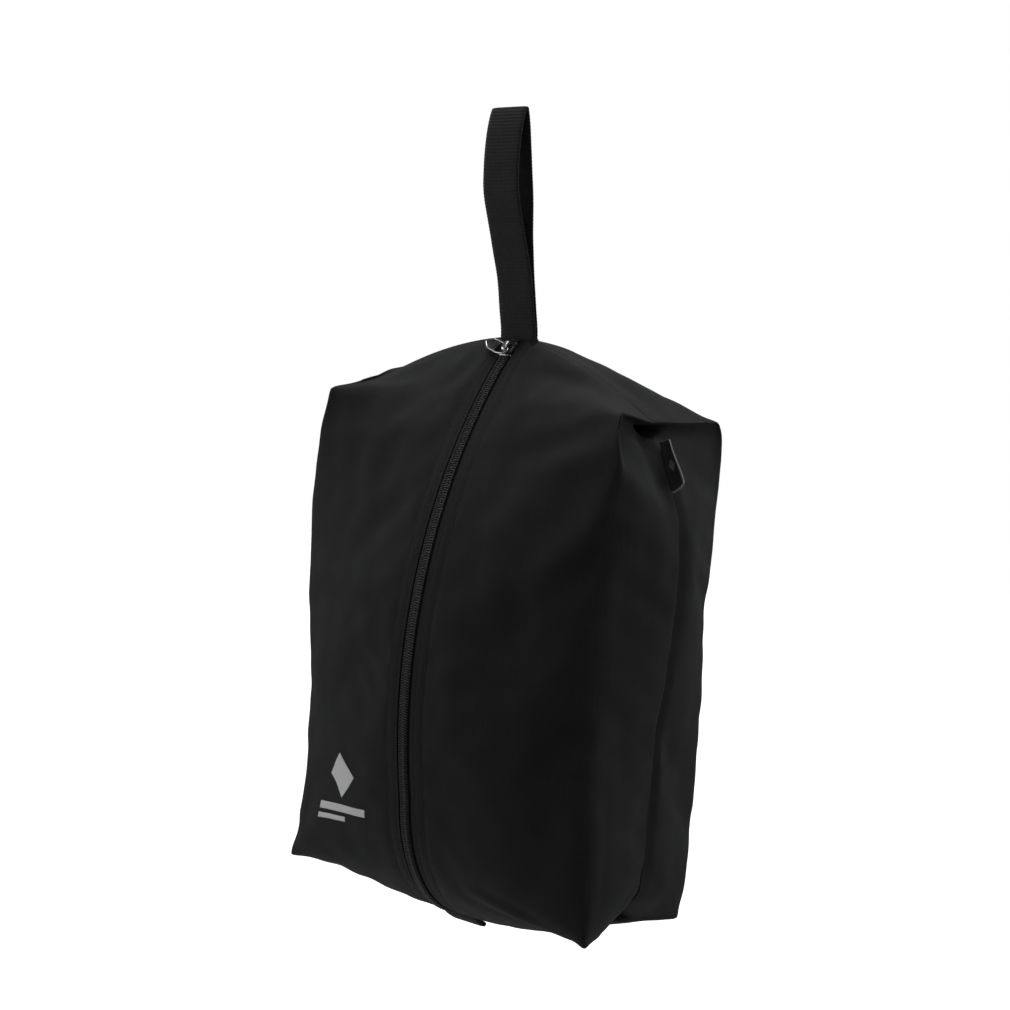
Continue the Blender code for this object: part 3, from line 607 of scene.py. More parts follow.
def evened(values, rounds):
    """Each value mixed with its neighbours, round after round."""
    for _ in range(rounds):
        padded = np.pad(values, 1, mode="edge")
        around = padded[:-2, 1:-1] + padded[2:, 1:-1] + padded[1:-1, :-2] + padded[1:-1, 2:]
        values = 0.5 * values + 0.125 * around
    return values


def coarse_copies(panels):
    """One mesh with a coarse copy of each panel, and for each panel where its copy's points are.

    The ridges, the side seams and the sewn zone beside the zip are in the vertex group held.
    """
    points, faces, pinned, spans = [], [], [], []
    for panel in panels:
        shape = panel.points.shape[:2]
        rows = coarse_steps(shape[0], COARSE_ROWS)
        columns = coarse_steps(shape[1], COARSE_COLUMNS)
        coarse = panel.points[np.ix_(rows, columns)]
        start = len(points)
        index = start + np.arange(coarse.shape[0] * coarse.shape[1]).reshape(coarse.shape[:2])
        held = np.zeros(coarse.shape[:2], bool)
        held[[0, -1]] = True
        held[:, [0, -1]] = True
        held[:, columns < panel.sewn] = True
        pinned += index[held].tolist()
        points += coarse.reshape(-1, 3).tolist()
        faces += grid_faces(*coarse.shape[:2], start, flip=panel.sense < 0.0)
        spans.append((panel, rows, columns, coarse, index))
    trial = mesh_object("cloth_trial", points, faces)
    trial.vertex_groups.new(name="held").add(pinned, 1.0, "REPLACE")
    return trial, spans


def settled_points(trial):
    """Where the points of a mesh come to rest as cloth, in the bag's frame."""
    modifier = trial.modifiers.new("cloth", "CLOTH")
    for key, value in CLOTH_SETTINGS.items():
        setattr(modifier.settings, key, value)
    modifier.settings.effector_weights.gravity = 0.3
    modifier.collision_settings.use_collision = False
    modifier.point_cache.frame_start = 1
    modifier.point_cache.frame_end = RELAX_FRAMES
    for number in range(1, RELAX_FRAMES + 1):
        bpy.context.scene.frame_set(number)
    settled = trial.evaluated_get(bpy.context.evaluated_depsgraph_get()).data
    moved = np.zeros(len(settled.vertices) * 3, np.float32)
    settled.vertices.foreach_get("co", moved)
    return moved.reshape(-1, 3) - BAG


def relax(panels):
    """Lets a coarse copy of each panel settle as cloth that is a little too large for its place.

    What the cloth does between its held points, less its broad bulge, moves the fine grid along
    its normals.
    """
    trial, spans = coarse_copies(panels)
    moved = settled_points(trial)
    for panel, rows, columns, coarse, index in spans:
        normal = grid_normals(coarse, panel.sense)
        shift = ((moved[index] - coarse) * normal).sum(-1)
        shift = np.clip(shift, -MOST_SHIFT, MOST_SHIFT)
        shift -= BROAD_LEFT_OUT * evened(shift, BROAD_ROUNDS)
        fine = evened(upsampled(shift, rows, columns, panel.points.shape[:2]), FINE_ROUNDS)
        ridge_off = np.minimum(ROW_V, 1.0 - ROW_V) * FRONT_LENGTH
        near_edge = HALF_SIZE - np.abs(panel.flat[..., 0])
        free = smooth(*RIDGE_FREE, ridge_off)[:, None] * smooth(*SEAM_FREE, near_edge)
        panel.points = panel.points + panel.normals() * (SHIFT_SHARE * fine * free)[..., None]
    bpy.context.scene.frame_set(1)
    bpy.data.meshes.remove(trial.data)


# ------------------------------------------------------------------ meshes

def mesh_object(name, points, faces, flat=None):
    """A smooth mesh at points of the bag's frame, with its flat places in the UV map cloth."""
    mesh = bpy.data.meshes.new(name)
    mesh.from_pydata((np.asarray(points).reshape(-1, 3) + BAG).tolist(), [], faces)
    mesh.update()
    if flat is not None:
        layer = mesh.uv_layers.new(name="cloth")
        corners = np.zeros(len(mesh.loops), np.int32)
        mesh.loops.foreach_get("vertex_index", corners)
        layer.data.foreach_set("uv", np.asarray(flat, np.float32).reshape(-1, 2)[corners].ravel())
    mesh.shade_smooth()
    thing = bpy.data.objects.new(name, mesh)
    bpy.context.scene.collection.objects.link(thing)
    return thing


def grid_faces(rows, columns, start=0, closed=False, flip=False):
    faces = []
    last = columns if closed else columns - 1
    for r in range(rows - 1):
        for c in range(last):
            right = (c + 1) % columns
            face = (start + r * columns + c, start + r * columns + right,
                    start + (r + 1) * columns + right, start + (r + 1) * columns + c)
            faces.append(face[::-1] if flip else face)
    return faces


def thicken(thing, thickness, offset=-1.0):
    solid = thing.modifiers.new("thickness", "SOLIDIFY")
    solid.thickness = thickness
    solid.offset = offset
    solid.use_rim = True


def dress(thing, *looks):
    thing.data.materials.clear()
    for look in looks:
        thing.data.materials.append(look)


def fit(thing, looks, slot, body, *nodes):
    """Dresses a piece, hides the CAD nodes that it stands for and ties it to its body; slot is not used."""
    dress(thing, *looks)
    if nodes:
        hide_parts(*nodes)
    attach(thing, body)


def panel_object(name, panel, node, look):
    rows, columns = panel.points.shape[:2]
    faces = grid_faces(rows, columns, flip=panel.sense < 0.0)
    thing = mesh_object(name, panel.points, faces, panel.flat)
    thicken(thing, CLOTH)
    fit(thing, [look], "cloth", "bag", node)
    return thing


def ring_frames(path):
    """For each point of a path, two directions square to it that don't spin along it."""
    along = unit(np.gradient(path, axis=0))
    seed = np.array((1.0, 0.0, 0.0)) if abs(along[0, 0]) < 0.9 else np.array((0.0, 1.0, 0.0))
    first = np.zeros_like(path)
    current = seed - along[0] * (seed @ along[0])
    for i, heading in enumerate(along):
        current = current - heading * (current @ heading)
        current /= np.linalg.norm(current)
        first[i] = current
    return first, np.cross(along, first)


class Tubes:
    """Collects round tubes, with closed ends, into one mesh."""

    def __init__(self, sides=6):
        self.sides = sides
        self.points = []
        self.faces = []
        self.flat = []

    def add(self, path, radius, closed=False):
        path = np.asarray(path, float)
        if closed:
            path = np.concatenate([path[-1:], path, path[:1]])
        first, second = ring_frames(path)
        if closed:
            path, first, second = path[1:-1], first[1:-1], second[1:-1]
        start = len(self.points)
        around = np.arange(self.sides) * 2.0 * math.pi / self.sides
        ring = first[:, None] * np.cos(around)[:, None] + second[:, None] * np.sin(around)[:, None]
        points = path[:, None] + ring * radius
        self.points += points.reshape(-1, 3).tolist()
        turn = around / (2.0 * math.pi) * radius * 6.3
        self.flat += stacked(turn[None, :], run_lengths(path)[:, None]).reshape(-1, 2).tolist()
        count = len(path)
        self.faces += grid_faces(count, self.sides, start, closed=True)
        last = start + (count - 1) * self.sides
        if closed:
            for c in range(self.sides):
                right = (c + 1) % self.sides
                self.faces.append((last + c, last + right, start + right, start + c))
        else:
            self.faces.append(tuple(start + c for c in reversed(range(self.sides))))
            self.faces.append(tuple(last + c for c in range(self.sides)))

    def made(self, name):
        return mesh_object(name, self.points, self.faces, self.flat)


# ------------------------------------------------------------------ materials

class Look:
    """A material's node tree, built a node at a time."""

    def __init__(self, name):
        self.material = bpy.data.materials.new(name)
        self.material.use_nodes = True
        self.tree = self.material.node_tree
        self.shader = self.tree.nodes["Principled BSDF"]

    def node(self, kind, inputs=(), **settings):
        made = self.tree.nodes.new("ShaderNode" + kind)
        for key, value in settings.items():
            setattr(made, key, value)
        for key, value in dict(inputs).items():
            if isinstance(value, bpy.types.NodeSocket):
                self.tree.links.new(value, made.inputs[key])
            else:
                made.inputs[key].default_value = value
        return made

    def maths(self, operation, a, b=0.0):
        return self.node("Math", {0: a, 1: b}, operation=operation).outputs[0]

    def weighed(self, a, a_share, b, b_share):
        return self.maths("ADD", self.maths("MULTIPLY", a, a_share), self.maths("MULTIPLY", b, b_share))

    def flat_place(self):
        return self.node("UVMap", uv_map="cloth").outputs["UV"]

    def flat_parts(self):
        """The place on the flat cloth, and its x and y on their own."""
        place = self.flat_place()
        parts = self.node("SeparateXYZ", {"Vector": place})
        return place, parts.outputs["X"], parts.outputs["Y"]

    def scaled(self, vector, scale):
        return self.node("Mapping", {"Vector": vector, "Scale": scale}).outputs["Vector"]

    def noise(self, vector, scale, detail=3.0, roughness=0.55):
        inputs = {"Vector": vector, "Scale": scale, "Detail": detail, "Roughness": roughness}
        return self.node("TexNoise", inputs).outputs["Fac"]

    def ranged(self, value, low, high, to_low, to_high):
        inputs = {"Value": value, "From Min": low, "From Max": high, "To Min": to_low, "To Max": to_high}
        return self.node("MapRange", inputs).outputs["Result"]

    def wave(self, coordinate, pitch):
        """A cosine wave of one coordinate, from -1 to 1."""
        return self.maths("COSINE", self.maths("MULTIPLY", coordinate, 2.0 * math.pi / pitch))

    def shades(self, value, dark, light, low=0.3, high=0.7):
        made = self.node("ValToRGB", {"Fac": value})
        for element, place, colour in zip(made.color_ramp.elements, (low, high), (dark, light)):
            element.position = place
            element.color = (*colour, 1.0)
        return made.outputs["Color"]

    def blended(self, factor, a, b):
        made = self.node("Mix", data_type="RGBA")
        self.tree.links.new(factor, made.inputs["Factor"])
        for socket, value in ((made.inputs[6], a), (made.inputs[7], b)):
            if isinstance(value, bpy.types.NodeSocket):
                self.tree.links.new(value, socket)
            else:
                socket.default_value = (*value, 1.0)
        return made.outputs[2]

    def bumped(self, height, distance):
        return self.node("Bump", {"Height": height, "Distance": distance}).outputs["Normal"]

    def set(self, **values):
        for key, value in values.items():
            socket = self.shader.inputs[key.replace("_", " ")]
            if isinstance(value, bpy.types.NodeSocket):
                self.tree.links.new(value, socket)
            else:
                socket.default_value = value
        return self.material


def grey(value):
    return (value, value, value)


def woven(name, pitch, dark, light, roughness, sheen, depth):
    """Plain-woven cloth: crossing yarns, uneven yarns in both directions and soft patches."""
    look = Look(name)
    place, x, y = look.flat_parts()
    checks = look.maths("MULTIPLY", look.wave(x, pitch), look.wave(y, pitch))
    warp = look.noise(look.scaled(place, (1.0 / pitch, 0.02 / pitch, 1.0)), 0.9, 2.0)
    weft = look.noise(look.scaled(place, (0.02 / pitch, 1.0 / pitch, 1.0)), 0.9, 2.0)
    yarns = look.weighed(warp, 0.5, weft, 0.5)
    patches = look.noise(place, 38.0, 4.0)
    colour = look.shades(look.weighed(yarns, 0.65, patches, 0.35), dark, light, 0.36, 0.64)
    normal = look.bumped(look.weighed(checks, 0.5, yarns, 0.9), depth)
    rough = look.ranged(patches, 0.3, 0.7, roughness - 0.05, roughness + 0.05)
    return look.set(Base_Color=colour, Roughness=rough, Normal=normal, Specular_IOR_Level=0.22,
                    Sheen_Weight=sheen, Sheen_Roughness=0.45, Sheen_Tint=(0.9, 0.93, 1.0, 1.0))


def herringbone(name):
    """Woven zip tape: ribs that lean one way and then the other."""
    look = Look(name)
    place, x, y = look.flat_parts()
    ribs = look.wave(look.maths("ADD", y, look.maths("PINGPONG", x, 1.6 * MM)), 0.9 * MM)
    fine = look.noise(place, 900.0, 2.0)
    height = look.maths("ADD", ribs, fine)
    colour = look.shades(fine, grey(0.008), grey(0.014))
    return look.set(Base_Color=colour, Roughness=0.85, Normal=look.bumped(height, 0.12 * MM),
                    Specular_IOR_Level=0.2, Sheen_Weight=0.05)


def webbing_look(name):
    """Ribbed webbing: fine warp yarns over the ribs, which are in the mesh, and painted shade in the grooves
    between the ribs.
    """
    look = Look(name)
    place, x, y = look.flat_parts()
    warp = look.wave(x, 0.62 * MM)
    yarn = look.noise(look.scaled(place, (1.0, 0.12, 1.0)), 1500.0, 2.0)
    patches = look.noise(place, 60.0, 3.0)
    base = look.shades(look.weighed(yarn, 0.6, patches, 0.4), grey(0.017), grey(0.034), 0.35, 0.65)
    # painted shade: the grooves between the mesh ribs are blended up to a quarter of the way towards near
    # black
    painted_rib_groove_shade = look.ranged(look.wave(y, RIB), -1.0, 1.0, 0.25, 0.0)
    colour = look.blended(painted_rib_groove_shade, base, grey(0.004))
    height = look.maths("ADD", look.maths("MULTIPLY", warp, 0.5), yarn)
    return look.set(Base_Color=colour, Roughness=0.72, Normal=look.bumped(height, 0.14 * MM),
                    Specular_IOR_Level=0.3, Sheen_Weight=0.12, Sheen_Roughness=0.4)


def thread_look(name, light):
    """Twisted sewing thread."""
    look = Look(name)
    place, x, y = look.flat_parts()
    strands = look.wave(look.maths("ADD", y, x), 0.45 * MM)
    fuzz = look.noise(place, 1800.0, 2.0)
    colour = look.shades(fuzz, grey(0.5 * light), grey(light))
    return look.set(Base_Color=colour, Roughness=0.6, Normal=look.bumped(strands, 0.1 * MM),
                    Specular_IOR_Level=0.35, Sheen_Weight=0.1)


def coil_look(name):
    """Drawn nylon wire: satin, with faint streaks along the wire."""
    look = Look(name)
    streaks = look.noise(look.scaled(look.flat_place(), (6.0, 0.3, 1.0)), 900.0, 3.0)
    colour = look.shades(streaks, grey(0.030), grey(0.052))
    rough = look.ranged(streaks, 0.3, 0.7, 0.26, 0.38)
    return look.set(Base_Color=colour, Roughness=rough, Normal=look.bumped(streaks, 0.03 * MM),
                    Specular_IOR_Level=0.6)


def metal_look(name, dark, light, low, high, metallic=1.0):
    """Plated or lacquered metal with fine brush marks and handled patches."""
    look = Look(name)
    place = look.node("TexCoord").outputs["Object"]
    marks = look.noise(look.scaled(place, (1.0, 0.25, 1.0)), 2600.0, 4.0)
    patches = look.noise(place, 320.0, 4.0)
    rough = look.ranged(patches, 0.3, 0.7, low, high)
    colour = look.shades(patches, dark, light)
    return look.set(Base_Color=colour, Roughness=rough, Metallic=metallic,
                    Normal=look.bumped(marks, 0.015 * MM))


def print_look(name):
    """Matt print film that takes the weave under it and has thinned in specks."""
    look = Look(name)
    place, x, y = look.flat_parts()
    checks = look.maths("MULTIPLY", look.wave(x, CLOTH_PITCH), look.wave(y, CLOTH_PITCH))
    specks = look.noise(place, 1600.0, 3.0)
    colour = look.shades(specks, grey(0.78), grey(0.95), 0.28, 0.42)
    return look.set(Base_Color=colour, Roughness=0.55, Normal=look.bumped(checks, 0.06 * MM),
                    Specular_IOR_Level=0.35)


LABEL_WIDTH = 9.0 * MM
LABEL_HEIGHT = 29.0 * MM
LABEL_ROOT = 2.5 * MM               # how much of it is sewn in
LABEL_LINE = 0.9 * MM
LABEL_MIDDLE = (LABEL_WIDTH * 0.48, LABEL_HEIGHT * 0.5)
LABEL_MARK = (2.2 * MM, 3.8 * MM)   # the half width and half height of the diamond


def label_look(name):
    """Fine satin label: a pale line along the fold and the lower end, and a plain pale diamond."""
    look = Look(name)
    place, out, up = look.flat_parts()
    fold_line = look.maths("GREATER_THAN", out, LABEL_WIDTH - LABEL_LINE)
    border = look.maths("MAXIMUM", fold_line, look.maths("LESS_THAN", up, LABEL_LINE))
    shares = []
    for along, middle, half in zip((out, up), LABEL_MIDDLE, LABEL_MARK):
        off = look.maths("ABSOLUTE", look.maths("SUBTRACT", along, middle))
        shares.append(look.maths("DIVIDE", off, half))
    mark = look.maths("LESS_THAN", look.maths("ADD", *shares), 1.0)
    fine = look.noise(look.scaled(place, (1.0, 0.2, 1.0)), 2200.0, 2.0)
    ground = look.shades(fine, grey(0.030), grey(0.055))
    marked = look.blended(look.maths("MULTIPLY", mark, 0.75), ground, grey(0.34))
    colour = look.blended(border, marked, grey(0.42))
    weave = look.wave(up, 0.3 * MM)
    return look.set(Base_Color=colour, Roughness=0.5, Normal=look.bumped(weave, 0.03 * MM),
                    Specular_IOR_Level=0.4, Sheen_Weight=0.1)


# ------------------------------------------------------------------ the zip

def zip_tapes(look):
    x = steps(0.15 * MM, (TAPE_EDGE, 1.1 * MM))
    v = ROW_V[1:-1]
    for side, word in SIDES:
        points = beside_zip((side * x)[None, :], v[:, None], np.full((len(v), 1), TAPE_TOP))
        flat = stacked(x[None, :], (v * FRONT_LENGTH)[:, None])
        faces = grid_faces(len(v), len(x), flip=side < 0.0)
        tape = mesh_object("woven_zip_tape_" + word, points, faces, flat)
        thicken(tape, TAPE)
        fit(tape, [look], "zip_tape", "bag", "zip_tape_" + word)


def zip_coils(look):
    """Two flattened coils of wire whose turns interlock along the middle."""
    per_turn = 10
    turns = round(FRONT_LENGTH * COIL_SHARE / COIL_PITCH)
    count = np.arange((turns - 1) * per_turn + 1) / per_turn
    angle = 2.0 * math.pi * count
    x = (COIL_X[0] + COIL_X[1]) / 2.0 + (COIL_X[1] - COIL_X[0]) / 2.0 * np.cos(angle)
    height = (COIL_H[0] + COIL_H[1]) / 2.0 + (COIL_H[1] - COIL_H[0]) / 2.0 * np.sin(angle)
    for (side, word), lead in zip(SIDES, (0.0, 0.5)):
        v = COIL_START + (count + lead) * COIL_PITCH / FRONT_LENGTH
        tubes = Tubes(6)
        tubes.add(beside_zip(side * x, v, height), COIL_WIRE)
        coil = tubes.made("wound_zip_coil_" + word)
        fit(coil, [look], "zip_coil", "bag", "zip_coil_" + word)


def coil_threads(look):
    """The sewing thread that holds each coil to its tape, over every second turn."""
    count = int(FRONT_LENGTH * COIL_THREAD_SHARE / (2.0 * COIL_PITCH))
    share = np.linspace(0.0, 1.0, 5)
    height = COIL_H[1] + COIL_WIRE - 0.22 * MM + 0.24 * MM * np.sin(share * math.pi)
    for side, word in SIDES:
        tubes = Tubes(5)
        x = np.full(len(share), side * COIL_THREAD_X)
        for i in range(count):
            length = COIL_START * FRONT_LENGTH + (2.0 * i + 0.4 + share * 1.7) * COIL_PITCH
            tubes.add(beside_zip(x, length / FRONT_LENGTH, height), COIL_THREAD_R)
        fit(tubes.made("coil_thread_" + word), [look], "thread", "bag")


def stitch_row(name, node, panel, row_x, look):
    """Separate stitches sunk at both ends in the cloth beside the zip."""
    column_x = np.abs(panel.points[len(ROW_V) // 2, :, 0])
    last = int(np.argmax(column_x > row_x + 3.0 * MM))
    column = np.interp(row_x, column_x[HEM_COLUMNS:last], np.arange(HEM_COLUMNS, last))
    low = int(column)
    lay = mix(panel.points[:, low], panel.points[:, low + 1], column - low)
    normal = panel.normals()[:, low]
    lengths = run_lengths(lay)
    tubes = Tubes(6)
    share = np.linspace(0.0, 1.0, 7)
    rise = 0.24 * MM * np.sin(share * math.pi) ** 0.6 - 0.14 * MM
    draw = np.random.default_rng(5)
    start = ROW_END
    while start + STITCH_LENGTH < lengths[-1] - ROW_END:
        at = start + share * STITCH_LENGTH * draw.uniform(0.94, 1.04)
        place = read_at(at, lengths, lay)
        place[:, 0] += draw.uniform(-0.08, 0.08) * MM
        tubes.add(place + read_at(at, lengths, normal) * rise[:, None], THREAD_R)
        start += STITCH_LENGTH + STITCH_GAP
    fit(tubes.made(name), [look], "thread", "bag", node)


# ------------------------------------------------------------------ the slider and its puller

SLIDER_OUT = np.array(JOINTS["puller_swivel"]["axis"])
SLIDER_UP = np.array((0.0, SLIDER_OUT[2], -SLIDER_OUT[1]))
SLIDER_SEAT = np.array((0.0, *ARC_CENTRE)) + SLIDER_OUT * ARC_R
ACROSS = np.array((1.0, 0.0, 0.0))
HALF_LENGTH = 5.5 * MM
PLATE_TOP = 2.1 * MM
MOUTH_X = 4.3 * MM
SHOULDER_X = 4.9 * MM
END_WIDTH = 0.70                    # the width that the slider's ends keep, as a share
SHELL = 0.75 * MM
SHELL_POINTS = 25                   # along and across
SHELL_TURN = 0.72                   # the share of the half width at which the flanks turn down
LIP_ROWS = 9
LIP_R = 0.42 * MM
LOWER_PLATE = (-3.4 * MM, -2.5 * MM)
WEDGE = ((0.25 * MM, 1.2 * MM), (0.9 * MM, 4.2 * MM))
WEDGE_TIP = (0.0, 4.9 * MM)
WEDGE_Z = (-2.6 * MM, 1.4 * MM)
BRIDGE_LEG = 3.4 * MM
BRIDGE_TOP = 4.9 * MM
BRIDGE_HALF_WIDTH = 1.4 * MM
BRIDGE_HALF = 0.45 * MM             # half its thickness
BRIDGE_SIDES = 12
WIRE_R = 0.55 * MM
WIRE_Z = PLATE_TOP + 0.35 * MM + WIRE_R
PULLER_TIP = 18.2 * MM
PULLER_TAIL = 2.5 * MM
PULLER_HALF = 4.2 * MM
PULLER_LEAN = math.radians(22.0)
INSERT_START = 6.2 * MM
INSERT_HALF = 0.4 * MM              # half its thickness


def from_slider(points):
    """Points across, up and out of the slider, in the bag's frame."""
    points = np.asarray(points)
    return (SLIDER_SEAT + points[..., :1] * ACROSS + points[..., 1:2] * SLIDER_UP
            + points[..., 2:] * SLIDER_OUT)


def from_puller(points):
    """Points along (away from the bridge, to -X), across and out of the puller."""
    points = np.asarray(points)
    cosine, sine = math.cos(PULLER_LEAN), math.sin(PULLER_LEAN)
    along, across = -points[..., 0], points[..., 1]
    x = along * cosine + across * sine
    y = -along * sine + across * cosine - BRIDGE_LEG
    return from_slider(np.stack([x, y, points[..., 2]], -1))


def slider_half_width(y):
    """Narrow at the mouth, wide at the shoulders, round at both ends."""
    flank = mix(MOUTH_X, SHOULDER_X, smooth(0.1 * HALF_LENGTH, 0.6 * HALF_LENGTH, y))
    ends = np.clip(1.0 - (np.abs(y) / (1.02 * HALF_LENGTH)) ** 7, 0.0, 1.0) ** 0.5
    return flank * np.maximum(ends, END_WIDTH)


def slider_shell(look, rim_look):
    """The slider's crowned plate, whose flanks turn down round the coils, and its bare lip."""
    y = np.linspace(-HALF_LENGTH, HALF_LENGTH, SHELL_POINTS)[:, None]
    arch = np.linspace(-1.0, 1.0, SHELL_POINTS)[None, :]
    bend = np.abs(arch)
    x = slider_half_width(y) * np.sign(arch) * np.minimum(1.0, bend / SHELL_TURN) ** 0.92
    drop = smooth(0.60, 0.82, bend) * 0.55 * MM + ramp(0.74, 1.0, bend) * 2.4 * MM
    closes = smooth(0.72 * HALF_LENGTH, 0.95 * HALF_LENGTH, np.abs(y))
    height = PLATE_TOP - 0.25 * MM * bend ** 2 - drop * (1.0 - 0.8 * closes) - 0.5 * MM * closes ** 2
    points = from_slider(stacked(x, y, height))
    shell = mesh_object("slider_shell", points, grid_faces(SHELL_POINTS, SHELL_POINTS))
    thicken(shell, SHELL)
    rounded(shell, 0.30 * MM, 2, material=1)
    shell.modifiers["thickness"].material_offset_rim = 1
    fit(shell, [look, rim_look], "slider_lacquer", "slider", "slider_body")
    edge = np.concatenate([points[LIP_ROWS:0:-1, 0], points[0], points[1:LIP_ROWS + 1, -1]])
    lip = Tubes(10)
    lip.add(edge - SLIDER_OUT * 0.3 * MM, LIP_R)
    fit(lip.made("slider_lip"), [rim_look], "bright_metal", "slider", "slider_body")


def rounded(thing, width, segments, material=-1):
    bevel = thing.modifiers.new("edges", "BEVEL")
    bevel.width = width
    bevel.segments = segments
    bevel.limit_method = "ANGLE"
    bevel.angle_limit = math.radians(50.0)
    bevel.material = material


def plate_object(name, outline, low, high, place):
    """A flat outline, given as (x, y) points, made solid from low to high."""
    count = len(outline)
    points = [(x, y, high) for x, y in outline] + [(x, y, low) for x, y in outline]
    faces = [tuple(range(count)), tuple(reversed(range(count, 2 * count)))]
    faces += [(i, count + i, count + (i + 1) % count, (i + 1) % count) for i in range(count)]
    thing = mesh_object(name, place(np.array(points)), faces)
    thing.data.set_sharp_from_angle(angle=math.radians(35.0))
    return thing


def mirrored(half):
    """The other half of an outline that is the same on both sides, on the way back."""
    return [(-x, y) for x, y in reversed(half)]


def lower_plate(look):
    """The slider's inner plate, under the tape, with the wedge that parts the coils."""
    y = np.linspace(-0.85 * HALF_LENGTH, 0.85 * HALF_LENGTH, 15)
    flank = [(slider_half_width(t) * 0.92, t) for t in y]
    plate = plate_object("slider_lower_plate", [*flank, *mirrored(flank)], *LOWER_PLATE, from_slider)
    rounded(plate, 0.2 * MM, 2)
    fit(plate, [look], "slider_lacquer", "slider")
    outline = [*WEDGE, WEDGE_TIP, *mirrored(WEDGE)]
    post = plate_object("slider_wedge", outline, *WEDGE_Z, from_slider)
    fit(post, [look], "slider_lacquer", "slider")


def bridge(look):
    """The arch along the slider that the puller turns round."""
    foot = PLATE_TOP - 0.4 * MM
    crown = BRIDGE_TOP - BRIDGE_HALF
    run = smooth_run([(-BRIDGE_LEG, foot), (-BRIDGE_LEG - 0.1 * MM, 3.2 * MM),
                      (-BRIDGE_LEG + 0.7 * MM, crown - 0.1 * MM), (-1.2 * MM, crown + 0.1 * MM),
                      (1.2 * MM, crown), (BRIDGE_LEG - 0.6 * MM, crown - 0.5 * MM),
                      (BRIDGE_LEG + 0.1 * MM, 3.0 * MM), (BRIDGE_LEG, foot)], 5)
    around = np.arange(BRIDGE_SIDES) * 2.0 * math.pi / BRIDGE_SIDES
    across = BRIDGE_HALF_WIDTH * np.sign(np.cos(around)) * np.abs(np.cos(around)) ** 0.6
    thick = BRIDGE_HALF * np.sign(np.sin(around)) * np.abs(np.sin(around)) ** 0.6
    square = directions(run)[1]
    ring_y = run[:, :1] + square[:, :1] * thick
    ring_z = run[:, 1:] + square[:, 1:] * thick
    points = from_slider(stacked(across[None, :], ring_y, ring_z))
    last = (len(run) - 1) * BRIDGE_SIDES
    faces = grid_faces(len(run), BRIDGE_SIDES, closed=True, flip=True)
    faces += [tuple(range(BRIDGE_SIDES)), tuple(reversed(range(last, last + BRIDGE_SIDES)))]
    arch = mesh_object("slider_arch", points, faces)
    fit(arch, [look], "bright_metal", "slider", "slider_bridge")


def rounded_loop(half, radius, per_corner):
    """A closed outline from the (x, y) corners of its +y half, each turned into a short curve."""
    corners = [np.array(c) for c in (*half, *((x, -y) for x, y in reversed(half)))]
    outline = []
    for before, corner, after in zip(corners[-1:] + corners[:-1], corners, corners[1:] + corners[:1]):
        reach = min(radius, 0.45 * np.linalg.norm(before - corner), 0.45 * np.linalg.norm(after - corner))
        start = corner + (before - corner) / np.linalg.norm(before - corner) * reach
        end = corner + (after - corner) / np.linalg.norm(after - corner) * reach
        for share in np.linspace(0.0, 1.0, per_corner):
            outline.append(mix(mix(start, corner, share), mix(corner, end, share), share))
    return outline


def puller(frame_look, insert_look):
    """The puller's long six-sided wire loop, and the plate in its outer half."""
    half = PULLER_HALF - WIRE_R
    loop = rounded_loop([(-PULLER_TAIL, 0.45 * half), (0.18 * PULLER_TIP, half), (0.72 * PULLER_TIP, half),
                         (PULLER_TIP - WIRE_R, 0.22 * half)], 1.4 * MM, 6)
    tubes = Tubes(12)
    tubes.add(from_puller([(x, y, WIRE_Z) for x, y in loop]), WIRE_R, closed=True)
    fit(tubes.made("puller_wire"), [frame_look], "dark_metal", "puller", "puller_frame")
    clear = 1.25 * WIRE_R
    half -= clear
    outline = rounded_loop([(INSERT_START, 0.86 * half), (0.34 * PULLER_TIP, half), (0.71 * PULLER_TIP, half),
                            (PULLER_TIP - 1.9 * WIRE_R - clear, 0.24 * half)], 0.8 * MM, 4)
    plate = plate_object("puller_plate", [tuple(p) for p in outline][::-1],
                         WIRE_Z - INSERT_HALF, WIRE_Z + INSERT_HALF, from_puller)
    rounded(plate, 0.18 * MM, 2)
    fit(plate, [insert_look], "puller_insert", "puller", "puller_insert")


# ------------------------------------------------------------------ webbing, label, bindings, print

def smooth_run(points, count):
    """A Catmull-Rom curve through the points."""
    points = np.asarray(points, float)
    padded = np.concatenate([[2 * points[0] - points[1]], points, [2 * points[-1] - points[-2]]])
    share = np.linspace(0.0, 1.0, count + 1)[:-1, None]
    run = []
    for a, b, c, d in zip(padded, padded[1:], padded[2:], padded[3:]):
        run.append(0.5 * (2 * b + (c - a) * share + (2 * a - 5 * b + 4 * c - d) * share ** 2
                          + (3 * b - a - 3 * c + d) * share ** 3))
    return np.concatenate([*run, points[-1:]])


